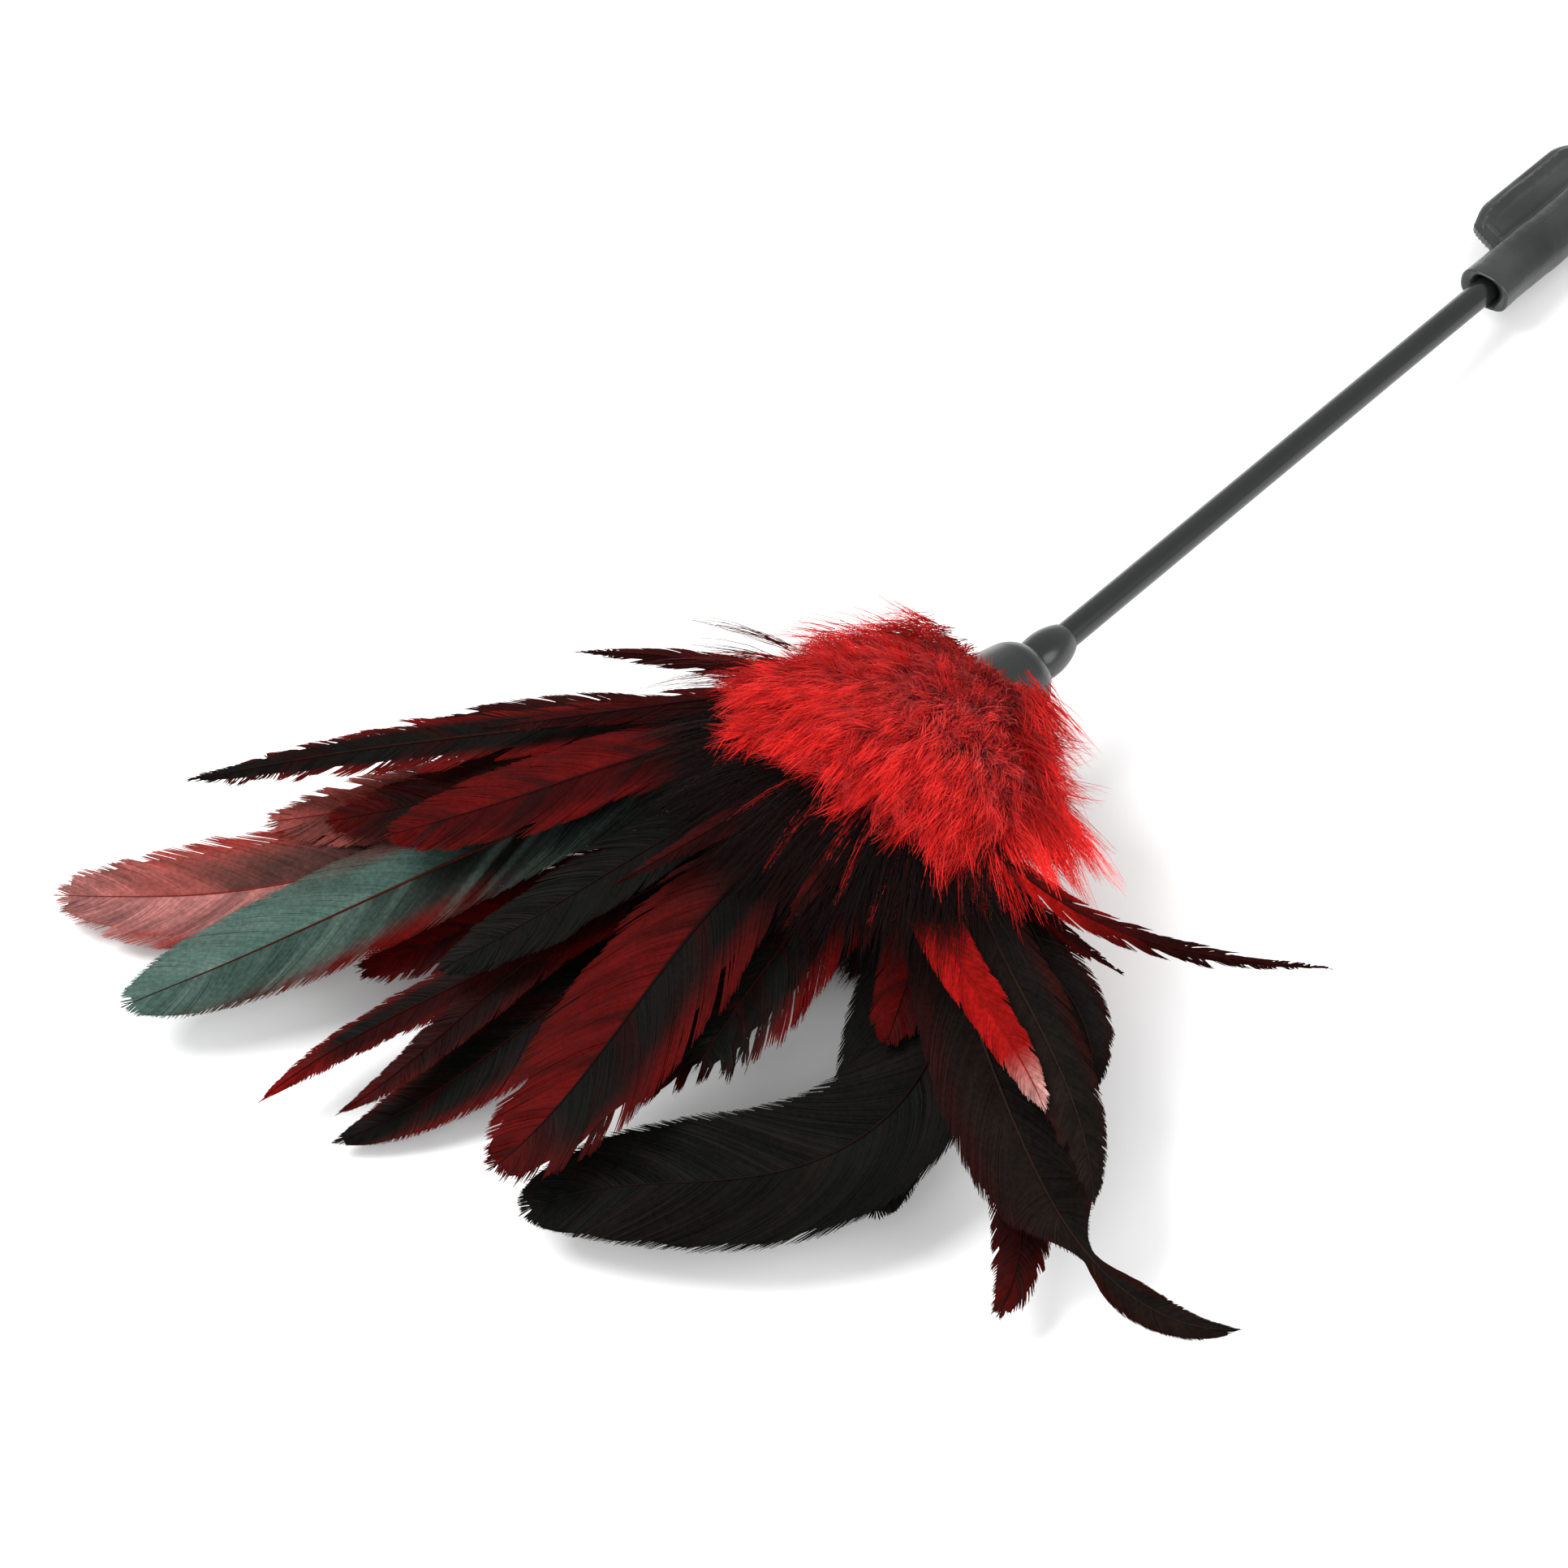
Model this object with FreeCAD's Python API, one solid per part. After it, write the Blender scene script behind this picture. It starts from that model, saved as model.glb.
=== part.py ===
import FreeCAD, Part

import math
import os
from collections import namedtuple

# Feather duster: a thin round rod with a bell-shaped end cap that holds a bound bunch of rooster feathers
# under a ruff of down, and a folded leather flap at the other end of the rod.
# It lies on a flat surface, z = 0, on its ruff and on the end of its flap.
# Millimetres. +X runs along the rod from the feathers to the flap, +Y to the flap's free wing, +Z is up.

# ---- driving dimensions ----
ROD_DIAMETER = 7.0
ROD_TILT = 6.5              # degrees: the rod falls from the ruff to the flap
NECK_HEIGHT = 34.6          # height of the rod's axis where it enters the cap

ROD_INSIDE_CAP = 30.0       # how far the rod reaches into the cap
SLEEVE_START = 186.0        # distances along the rod from the cap's end
ROD_END = 256.0
SLEEVE_END = 264.0

CAP_LENGTH = 38.0
CAP_MOUTH_RADIUS = 13.8
CAP_WALL = 1.2
COLLAR_END = 1.5            # the collar's front face, the groove and the bell's shoulder, along the rod
GROOVE_PLACE = -11.5
SHOULDER_PLACE = -17.5
SHOULDER_RADIUS = 9.9

FAN_X = -45.0               # where the feathers start to fan out, behind the cap's mouth
TUFT_OFFSET = 8.0           # sideways distance of the two side tufts' hinge axes
BINDING_RADIUS = 5.0
BINDING_HEIGHT = 17.0
WEB_WIDTH = 4.8             # the thread-bound middle, between the two side bindings
WEB_BEHIND_FAN = 6.0        # it reaches this far behind FAN_X
WEB_IN_GLUE = 1.0           # and this far into the glue

LAYERS = 10                 # the feathers lie in this many layers, 0 at the bottom
ROOT_SPACING = 1.55         # between layers at the bindings
FAN_SPACING = 3.0           # between layers in the open fan
FAN_DROOP = 22.0            # how far the fan sinks towards the surface it lies on
VANE_THICKNESS = 1.1
QUILL_THICKNESS = 1.2

RUFF_PROFILE = ((-22.0, 11.5), (-30.0, 19.0), (-45.0, 30.0), (-60.0, 39.0), (-74.0, 42.0), (-86.0, 36.0))
RUFF_FLATTEN = 0.68         # height of the upper half against its width: it lies flat on the feathers
RUFF_HANG = 1.1             # the same for the lower half, which is pressed flat on the surface
RUFF_GAP_ABOVE = 13.5       # free height for the feathers, above and below their middle
RUFF_GAP_BELOW = 15.5
THREAD_PLACES = (-33.0, -36.0)
THREAD_RADIUS = 0.7

WING_START = 202.0          # the flap's free wing, beside the rod
WING_LENGTH = 56.0
WING_REACH = 20.0           # from the rod's axis to the wing's outer edge
WING_THICKNESS = 2.6
SEAM_INSET = 2.6            # from the wing's edge to its line of stitches
SLEEVE_HALF_WIDTH = 7.0
SLEEVE_HALF_HEIGHT = 5.0
CLEARANCE = 0.3             # between pieces that move past each other
WING_ROOT = SLEEVE_HALF_WIDTH + CLEARANCE + WING_THICKNESS / 2   # the line that the wing bends about

OUT = "parts"

# ---- feathers ----
# tuft: which bunch holds it. layer: 0 is lowest. turns: its direction in plan at the root, at one and at two
# thirds of its length and at the tip, in degrees from straight back (-X) towards +Y. length and width: of the
# whole feather. shape: "broad" and widest far out, "pointed" and widest half-way, or a narrow "hackle".
Feather = namedtuple("Feather", "name tuft layer turns length width shape")

FEATHERS = [
    Feather("left_pink_long", "left", 1, (40, 40, 43, 53), 209, 36, "broad"),
    Feather("left_green_black", "left", 4, (31, 35, 28, 22), 200, 32, "broad"),
    Feather("left_dark_outer", "left", 7, (39, 51, 52, 39), 175, 16, "pointed"),
    Feather("left_red_inner", "left", 8, (34, 34, 37, 41), 129, 24, "broad"),
    Feather("left_red_under", "left", 1, (20, 27, 30, 34), 143, 20, "broad"),
    Feather("left_pink_middle", "left", 2, (46, 46, 48, 50), 156, 24, "broad"),
    Feather("left_dark_short", "left", 4, (52, 53, 55, 56), 124, 20, "broad"),
    Feather("left_red_middle", "left", 5, (39, 41, 45, 49), 142, 22, "broad"),
    Feather("left_hackle_outer", "left", 8, (60, 61, 62, 63), 81, 8, "hackle"),
    Feather("left_hackle_inner", "left", 9, (44, 45, 47, 50), 102, 8, "hackle"),
    Feather("centre_forked", "centre", 3, (21, 21, 28, 2), 185, 26, "pointed"),
    Feather("centre_dark_long", "centre", 0, (12, 17, 14, 31), 173, 26, "pointed"),
    Feather("centre_red_broad", "centre", 6, (8, 4, -5, 13), 159, 34, "broad"),
    Feather("centre_dark_fringed", "centre", 3, (-6, -6, -7, -7), 107, 30, "broad"),
    Feather("centre_dark_side", "centre", 6, (30, 21, 20, 25), 135, 18, "broad"),
    Feather("centre_red_under", "centre", 0, (-8, -1, 3, 6), 119, 22, "broad"),
    Feather("centre_hackle_left", "centre", 9, (14, 15, 17, 20), 93, 8, "hackle"),
    Feather("centre_hackle_right", "centre", 9, (-10, -10, -10, -10), 78, 8, "hackle"),
    Feather("right_black_sickle", "right", 2, (0, -36, 36, 20), 191, 36, "broad"),
    Feather("right_black_short", "right", 1, (-22, -26, -31, -34), 121, 26, "broad"),
    Feather("right_red_small", "right", 1, (-40, -43, -50, -8), 144, 16, "broad"),
    Feather("right_dark_twisted", "right", 5, (0, -54, -64, -138), 184, 30, "pointed"),
    Feather("right_red_streak", "right", 8, (-9, -38, -67, -59), 113, 12, "even"),
    Feather("right_dark_curved", "right", 4, (-22, -59, -75, -12), 102, 18, "pointed"),
    Feather("right_dark_narrow", "right", 7, (-23, -53, -63, -39), 131, 18, "pointed"),
    Feather("right_red_under", "right", 3, (-29, -26, -23, -22), 82, 16, "broad"),
    Feather("right_hackle_long", "right", 9, (-23, -74, -113, -133), 126, 7, "hackle"),
    Feather("right_hackle_short", "right", 5, (-38, -56, -80, -91), 76, 7, "hackle"),
]

VANE_START = 0.16           # fraction of the length that is bare quill
# Powers of each vane outline's rise and fall.
VANE_PROFILES = {"broad": (0.85, 0.5), "pointed": (0.8, 0.75), "hackle": (0.6, 0.9), "even": (0.3, 0.4)}
STATIONS = (0.0, 0.05, 0.16, 0.24, 0.34, 0.45, 0.56, 0.67, 0.77, 0.86, 0.93, 0.975, 1.0)


# ---- small helpers ----
def vec(x, y, z):
    return FreeCAD.Vector(x, y, z)


def smooth(t):
    """0 to 1 with flat ends."""
    t = max(0.0, min(1.0, t))
    return t * t * (3.0 - 2.0 * t)


def place_on_rod(shape):
    """Turn a shape made along +X from the neck so that it lies on the tilted rod."""
    placed = shape.copy()
    placed.rotate(vec(0, 0, 0), vec(0, 1, 0), ROD_TILT)
    placed.translate(vec(0, 0, NECK_HEIGHT))
    return placed


def revolve_wire(edges):
    """Solid of revolution about the rod's axis from a closed profile of edges."""
    return Part.Face(Part.Wire(edges)).revolve(vec(0, 0, 0), vec(1, 0, 0), 360)


def arc(a, b, c):
    return Part.Arc(vec(a[0], 0, a[1]), vec(b[0], 0, b[1]), vec(c[0], 0, c[1])).toShape()


def line(a, b):
    return Part.makeLine(vec(a[0], 0, a[1]), vec(b[0], 0, b[1]))


def rounded_box(length, width, height, radius):
    """Box centred on the X axis, starting at x = 0, with its four long edges rounded."""
    box = Part.makeBox(length, width, height, vec(0, -width / 2, -height / 2))
    long_edges = [e for e in box.Edges if abs(e.tangentAt(e.FirstParameter).x) > 0.99]
    return box.makeFillet(radius, long_edges)


# ---- rod and cap ----
def make_rod():
    rod = Part.makeCylinder(ROD_DIAMETER / 2, ROD_INSIDE_CAP + ROD_END, vec(-ROD_INSIDE_CAP, 0, 0), vec(1, 0, 0))
    ends = [e for e in rod.Edges if e.Curve.TypeId == "Part::GeomCircle"]
    return place_on_rod(rod.makeChamfer(0.5, ends))


def cap_outline(inset):
    """Half profile of the cap's bell, from the groove to the mouth, moved inwards by inset."""
    groove = (GROOVE_PLACE, 5.4 - inset)
    shoulder_mid = (-14.0, 8.3 - inset)
    shoulder = (SHOULDER_PLACE, SHOULDER_RADIUS - inset)
    mouth = (-CAP_LENGTH, CAP_MOUTH_RADIUS - inset)
    return groove, shoulder_mid, shoulder, mouth


def bell_floor():
    """Where the bell's hollow begins inside the cap: place along the rod and radius."""
    return GROOVE_PLACE - 2.5, SHOULDER_RADIUS - CAP_WALL - 2.2


def make_end_cap():
    """Rounded collar, a groove, then a shoulder that flares out into a thin-walled bell."""
    bore = ROD_DIAMETER / 2
    groove, shoulder_mid, shoulder, mouth = cap_outline(0.0)
    _, _, inner_shoulder, inner_mouth = cap_outline(CAP_WALL)
    floor = bell_floor()
    collar_front, collar_middle, collar_back = (COLLAR_END, 4.3), (-5.0, 5.9), (-10.6, 5.5)
    edges = [
        line((COLLAR_END, bore), collar_front),
        arc(collar_front, collar_middle, collar_back),
        line(collar_back, groove),
        arc(groove, shoulder_mid, shoulder),
        line(shoulder, mouth),
        line(mouth, inner_mouth),
        line(inner_mouth, inner_shoulder),
        line(inner_shoulder, floor),
        line(floor, (floor[0], bore)),
        line((floor[0], bore), (COLLAR_END, bore)),
    ]
    return place_on_rod(revolve_wire(edges))


def make_glue_plug():
    """Hard glue that fills the bell around the end of the rod."""
    _, _, shoulder, mouth = cap_outline(CAP_WALL)
    floor = bell_floor()
    edges = [
        line((floor[0], 0.0), floor),
        line(floor, shoulder),
        line(shoulder, mouth),
        line(mouth, (mouth[0], 0.0)),
        line((mouth[0], 0.0), (floor[0], 0.0)),
    ]
    plug = place_on_rod(revolve_wire(edges))
    end = Part.makeCylinder(ROD_DIAMETER / 2, ROD_INSIDE_CAP, vec(-ROD_INSIDE_CAP, 0, 0), vec(1, 0, 0))
    return plug.cut(place_on_rod(end))


def make_ruff_threads():
    """Two turns of binding thread that tie the ruff round the bell."""
    slope = (CAP_MOUTH_RADIUS - SHOULDER_RADIUS) / (CAP_LENGTH + SHOULDER_PLACE)
    rings = []
    for place in THREAD_PLACES:
        bell_radius = SHOULDER_RADIUS + (SHOULDER_PLACE - place) * slope
        ring = Part.makeTorus(bell_radius + THREAD_RADIUS + 0.05, THREAD_RADIUS, vec(place, 0, 0), vec(1, 0, 0))
        rings.append(place_on_rod(ring))
    return Part.makeCompound(rings)


# ---- feathers ----
def fan_centre_height():
    return NECK_HEIGHT - FAN_X * math.tan(math.radians(ROD_TILT))


def layer_height(layer, x, y):
    """Height of a layer's middle surface above a point of the plan."""
    reach = math.hypot(x - FAN_X, y)
    spacing = ROOT_SPACING + (FAN_SPACING - ROOT_SPACING) * smooth((reach - 10.0) / 50.0)
    droop = FAN_DROOP * smooth((reach - 55.0) / 135.0)
    return fan_centre_height() - droop + (layer - (LAYERS - 1) / 2) * spacing


def tuft_centre(tuft):
    side = {"left": 1.0, "centre": 0.0, "right": -1.0}[tuft]
    return FAN_X, side * TUFT_OFFSET


def root_distance(tuft):
    """Where a quill starts, from the middle of its binding."""
    return 2.0 if tuft == "centre" else 3.6


def heading_at(feather, part):
    """Direction in plan at a fraction of the length: the cubic through the feather's four turns."""
    root, third, two_thirds, tip = feather.turns
    before, after = 1.0 - 3.0 * part, 2.0 - 3.0 * part
    heading = root * (1.0 - part) * before * after / 2
    heading += third * 4.5 * part * (1.0 - part) * after
    heading -= two_thirds * 4.5 * part * (1.0 - part) * before
    heading += tip * part * before * after / 2
    return math.radians(heading)


def centre_line(feather):
    """Plan position and direction at each station, found by small steps along the curl."""
    steps = 200
    x, y = tuft_centre(feather.tuft)
    start = heading_at(feather, 0.0)
    x -= root_distance(feather.tuft) * math.cos(start)
    y += root_distance(feather.tuft) * math.sin(start)
    wanted = [round(fraction * steps) for fraction in STATIONS]
    places = []
    for step in range(steps + 1):
        part = step / steps
        heading = heading_at(feather, part)
        if step in wanted:
            places.append((part, x, y, heading))
        x -= math.cos(heading) * feather.length / steps
        y += math.sin(heading) * feather.length / steps
    return places


def half_width(feather, part):
    """Half the width of quill or vane at a fraction of the length."""
    quill = 0.3 + 0.3 * smooth(part / VANE_START)
    if part <= VANE_START:
        return quill
    u = (part - VANE_START) / (1.0 - VANE_START)
    rise, fall = VANE_PROFILES[feather.shape]
    peak = rise / (rise + fall)
    profile = (u / peak) ** rise * ((1.0 - u) / (1.0 - peak)) ** fall
    return max(0.35, quill * (1.0 - u), feather.width / 2 * profile)


def feather_section(feather, part, x, y, heading):
    """Flat diamond across the feather, with its two edges on the layer's surface."""
    half = half_width(feather, part)
    thick = QUILL_THICKNESS + (VANE_THICKNESS - QUILL_THICKNESS) * smooth(part / 0.4)
    thick -= 0.6 * smooth((part - 0.75) / 0.25)
    side_x, side_y = math.sin(heading) * half, math.cos(heading) * half
    middle = layer_height(feather.layer, x, y)
    left = vec(x + side_x, y + side_y, layer_height(feather.layer, x + side_x, y + side_y))
    right = vec(x - side_x, y - side_y, layer_height(feather.layer, x - side_x, y - side_y))
    top = vec(x, y, middle + thick / 2)
    bottom = vec(x, y, middle - thick / 2)
    return Part.makePolygon([left, top, right, bottom, left])


def make_feather(feather):
    """Quill and vane in one closed solid."""
    sections = [feather_section(feather, *place) for place in centre_line(feather)]
    return Part.makeLoft(sections, True, True)


# ---- bindings ----
def make_side_binding(tuft, feathers):
    """Round thread-bound lump that holds a side tuft's quills and turns about its own upright axis."""
    x, y = tuft_centre(tuft)
    low = fan_centre_height() - BINDING_HEIGHT / 2
    lump = Part.makeCylinder(BINDING_RADIUS, BINDING_HEIGHT, vec(x, y, low))
    rims = [e for e in lump.Edges if e.Curve.TypeId == "Part::GeomCircle"]
    lump = lump.makeFillet(1.2, rims)
    return lump.cut(feathers)


def make_centre_binding(feathers, plug, cap):
    """Flat thread-bound web between the two side bindings, standing out of the glue."""
    low = fan_centre_height() - BINDING_HEIGHT / 2
    back = FAN_X - WEB_BEHIND_FAN
    front = -CAP_LENGTH + WEB_IN_GLUE
    web = Part.makeBox(front - back, WEB_WIDTH, BINDING_HEIGHT, vec(back, -WEB_WIDTH / 2, low))
    upright = [e for e in web.Edges if abs(e.tangentAt(e.FirstParameter).z) > 0.99]
    web = web.makeFillet(1.0, upright)
    return web.cut([plug, cap] + feathers)


# ---- ruff ----
def ruff_body(stretch):
    """The ruff as a smooth skin over ellipses about the rod, like a half-open umbrella, stretched in height."""
    rings = []
    for place, radius in RUFF_PROFILE:
        beside, above = vec(place, radius, 0), vec(place, 0, radius * stretch)
        longer, shorter = (beside, above) if stretch < 1.0 else (above, beside)
        rings.append(Part.Wire(Part.Ellipse(longer, shorter, vec(place, 0, 0)).toShape()))
    return place_on_rod(Part.makeLoft(rings, True))


def cap_space():
    """Everything inside the cap's outer surface."""
    groove, shoulder_mid, shoulder, mouth = cap_outline(0.0)
    front = COLLAR_END + 0.5
    edges = [
        line((front, 0.0), (front, groove[1])),
        line((front, groove[1]), groove),
        arc(groove, shoulder_mid, shoulder),
        line(shoulder, mouth),
        line(mouth, (mouth[0], 0.0)),
        line((mouth[0], 0.0), (front, 0.0)),
    ]
    return place_on_rod(revolve_wire(edges))


def make_ruff_half(upper, threads):
    """Upper or lower half of the ruff, with a free gap behind the cap where the feathers pass."""
    size = 400.0
    middle = fan_centre_height()
    gap_front = -CAP_LENGTH + 1.0
    if upper:
        keep = Part.makeBox(size, size, size, vec(-size / 2, -size / 2, middle))
        gap = Part.makeBox(size, size, RUFF_GAP_ABOVE, vec(gap_front - size, -size / 2, middle))
    else:
        keep = Part.makeBox(size, size, middle, vec(-size / 2, -size / 2, 0))
        gap = Part.makeBox(size, size, RUFF_GAP_BELOW, vec(gap_front - size, -size / 2, middle - RUFF_GAP_BELOW))
    body = ruff_body(RUFF_FLATTEN if upper else RUFF_HANG)
    return body.common(keep).cut([gap, cap_space()]).cut(threads)


# ---- leather flap ----
def make_sleeve():
    """Leather folded round the end of the rod; its far end is closed and pressed flat where it rests."""
    length = SLEEVE_END - SLEEVE_START
    sleeve = rounded_box(length, 2 * SLEEVE_HALF_WIDTH, 2 * SLEEVE_HALF_HEIGHT, 3.6)
    bore = Part.makeCylinder(ROD_DIAMETER / 2, ROD_END - SLEEVE_START, vec(0, 0, 0), vec(1, 0, 0))
    sleeve = sleeve.cut(bore)
    sleeve.translate(vec(SLEEVE_START, 0, 0))
    above_floor = Part.makeBox(800, 200, 200, vec(-400, -100, 0))
    return place_on_rod(sleeve).common(above_floor)


def wing_outline(inset):
    """Open outline of the wing, from its root beside the rod round to the root again.
    Its near corner has a small round and its far corner a large one."""
    near, far = WING_START + inset, WING_START + WING_LENGTH - inset
    outer = WING_REACH - inset
    small, large = 6.0, 10.0
    cut = 1.0 - math.sqrt(0.5)
    corners = [vec(near, WING_ROOT, 0), vec(near, outer - small, 0),
               vec(near + small * cut, outer - small * cut, 0), vec(near + small, outer, 0),
               vec(far - large, outer, 0), vec(far - large * cut, outer - large * cut, 0),
               vec(far, outer - large, 0), vec(far, WING_ROOT, 0)]
    return [
        Part.makeLine(corners[0], corners[1]),
        Part.Arc(corners[1], corners[2], corners[3]).toShape(),
        Part.makeLine(corners[3], corners[4]),
        Part.Arc(corners[4], corners[5], corners[6]).toShape(),
        Part.makeLine(corners[6], corners[7]),
    ]


def make_wing():
    """Free wing: the two leaves of the folded leather sewn together, with a round root that it bends about."""
    root_start, root_end = vec(WING_START, WING_ROOT, 0), vec(WING_START + WING_LENGTH, WING_ROOT, 0)
    face = Part.Face(Part.Wire(wing_outline(0.0) + [Part.makeLine(root_end, root_start)]))
    wing = face.extrude(vec(0, 0, WING_THICKNESS))
    wing.translate(vec(0, 0, -WING_THICKNESS / 2))
    root = Part.makeCylinder(WING_THICKNESS / 2, WING_LENGTH, root_start, vec(1, 0, 0))
    return wing.fuse(root).removeSplitter()


def make_stitches():
    """Thread on both faces of the wing, along a line set in from its edge."""
    pitch, stitch, radius = 4.0, 2.8, 0.3
    seam = Part.Wire(wing_outline(SEAM_INSET))
    stitches = []
    for number in range(int(seam.Length / pitch)):
        along = pitch * (number + 0.5)
        before = point_on(seam, along - stitch / 2)
        after = point_on(seam, along + stitch / 2)
        for side in (-1, 1):
            height = vec(0, 0, side * (WING_THICKNESS / 2 + radius))
            stitches.append(Part.makeCylinder(radius, (after - before).Length, before + height, after - before))
    return stitches


def point_on(wire, distance):
    """Point at a distance along a wire of ordered edges."""
    for edge in wire.OrderedEdges:
        if distance <= edge.Length:
            forward = edge.Orientation == "Forward"
            parameter = edge.getParameterByLength(distance if forward else edge.Length - distance)
            return edge.valueAt(parameter)
        distance -= edge.Length
    return wire.OrderedVertexes[-1].Point


def build():
    """Every piece of the duster by node name, before the frame is centred."""
    feathers = {f.name: make_feather(f) for f in FEATHERS}
    held = {tuft: [feathers[f.name] for f in FEATHERS if f.tuft == tuft] for tuft in ("left", "centre", "right")}
    cap = make_end_cap()
    plug = make_glue_plug()
    threads = make_ruff_threads()
    pieces = {
        "rod": make_rod(),
        "end_cap": cap,
        "glue_plug": plug,
        "ruff_threads": threads,
        "centre_binding": make_centre_binding(held["centre"], plug, cap),
        "left_binding": make_side_binding("left", held["left"]),
        "right_binding": make_side_binding("right", held["right"]),
        "upper_ruff": make_ruff_half(True, threads),
        "lower_ruff": make_ruff_half(False, threads),
        "flap_sleeve": make_sleeve(),
        "flap_wing": place_on_rod(make_wing()),
        "flap_stitches": place_on_rod(Part.makeCompound(make_stitches())),
    }
    pieces.update(feathers)
    return pieces


def main():
    os.makedirs(OUT, exist_ok=True)
    pieces = build()
    whole = Part.makeCompound(list(pieces.values()))
    box = whole.optimalBoundingBox()
    shift = vec(-box.Center.x, -box.Center.y, -box.ZMin)
    for name, shape in pieces.items():
        shape.translate(shift)
        shape.exportStep(os.path.join(OUT, name + ".step"))
        print(name, "valid", shape.isValid(), "solids", len(shape.Solids), "volume", round(shape.Volume, 1))
    print("size", round(box.XLength, 2), round(box.YLength, 2), round(box.ZLength, 2))
    print("shift", round(shift.x, 3), round(shift.y, 3), round(shift.z, 3))


main()
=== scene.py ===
"""The looks of a feather duster: barbed rooster feathers, a red down ruff, a satin black rod and cap, and a
folded leather flap, all made in code around the CAD frame. Helper lengths are in millimetres."""

import math
from collections import namedtuple

import bpy
import numpy as np
from mathutils import Matrix, Vector


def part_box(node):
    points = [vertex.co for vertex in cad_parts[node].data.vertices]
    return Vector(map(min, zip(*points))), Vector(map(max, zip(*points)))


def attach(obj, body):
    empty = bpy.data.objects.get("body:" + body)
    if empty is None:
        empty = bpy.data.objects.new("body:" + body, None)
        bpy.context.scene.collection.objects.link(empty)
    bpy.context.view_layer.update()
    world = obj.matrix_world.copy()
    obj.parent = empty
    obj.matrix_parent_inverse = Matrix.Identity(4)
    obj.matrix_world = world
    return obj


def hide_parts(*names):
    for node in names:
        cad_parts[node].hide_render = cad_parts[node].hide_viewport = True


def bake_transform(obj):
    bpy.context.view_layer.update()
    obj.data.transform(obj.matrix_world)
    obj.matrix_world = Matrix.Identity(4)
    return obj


# ---- driving dimensions ----
# The first two blocks are the CAD's, with two differences: the sleeve's leather reaches 0.4 mm further out
# at each side and 0.2 mm further above and below, and the seam lies 0.2 mm further in from the edge.
ROD_TILT = math.radians(6.5)
NECK_HEIGHT = 34.6
ROD_DIAMETER = 7.0
FAN_X = -45.0
TUFT_OFFSET = 8.0
LAYERS = 10
ROOT_SPACING = 1.55
FAN_SPACING = 3.0
FAN_DROOP = 22.0
VANE_START = 0.16
VANE_PROFILES = {"broad": (0.85, 0.5), "pointed": (0.8, 0.75), "hackle": (0.6, 0.9), "even": (0.3, 0.4)}

SLEEVE_START = 186.0
SLEEVE_END = 264.0
SLEEVE_HALF_WIDTH = 7.4
SLEEVE_HALF_HEIGHT = 5.2
WING_START = 202.0
WING_LENGTH = 56.0
WING_REACH = 20.0
WING_HALF = 1.3             # half the wing's thickness
SEAM_INSET = 2.8            # from the wing's edge to its seam

BARB_SPACING = 0.30         # along the quill
BARB_POINTS = 7
BARB_SLANT = 31.0           # degrees between a barb and the quill
HACKLE_SLANT = 17.0         # the same for a hackle feather
QUILL_LIFT = 0.12           # the quill lies this far over the barbs, and the web as far under them
WEB_ROWS = 150
WEB_COLUMNS = 7
QUILL_POINTS = 70
ROOT_DOWN_POINTS = 6
STRAND_POINTS = 5           # along one strand of down
RIM_AHEAD = 41.0            # from the fan's centre to the ruff's rim, straight ahead
RIM_MOST = 43.0             # the same at the most, towards the sides
SURFACE = 0.25              # lowest height of anything made here, just above the surface the duster lies on
SEED = 7
NO_TINT = np.zeros(3)       # for pieces whose material has a colour of its own


# ---- colours ----
def srgb(red, green, blue):
    """Linear colour from 0..255 screen values."""
    values = np.array([red, green, blue], float) / 255.0
    return np.where(values <= 0.04045, values / 12.92, ((values + 0.055) / 1.055) ** 2.4)


BLACK = srgb(12, 12, 10)
SOOT = srgb(9, 8, 7)
BROWN = srgb(24, 17, 14)
# painted sheen: the iridescent green of the green-black feather
GREEN_SHEEN = srgb(62, 84, 77)
DEEP_RED = srgb(50, 4, 4)
DARK_RED = srgb(31, 4, 3)
RED = srgb(74, 6, 5)
BRIGHT = srgb(140, 13, 11)
PINK = srgb(150, 74, 68)
PALE_PINK = srgb(158, 100, 96)
GREY = srgb(40, 35, 32)
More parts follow.
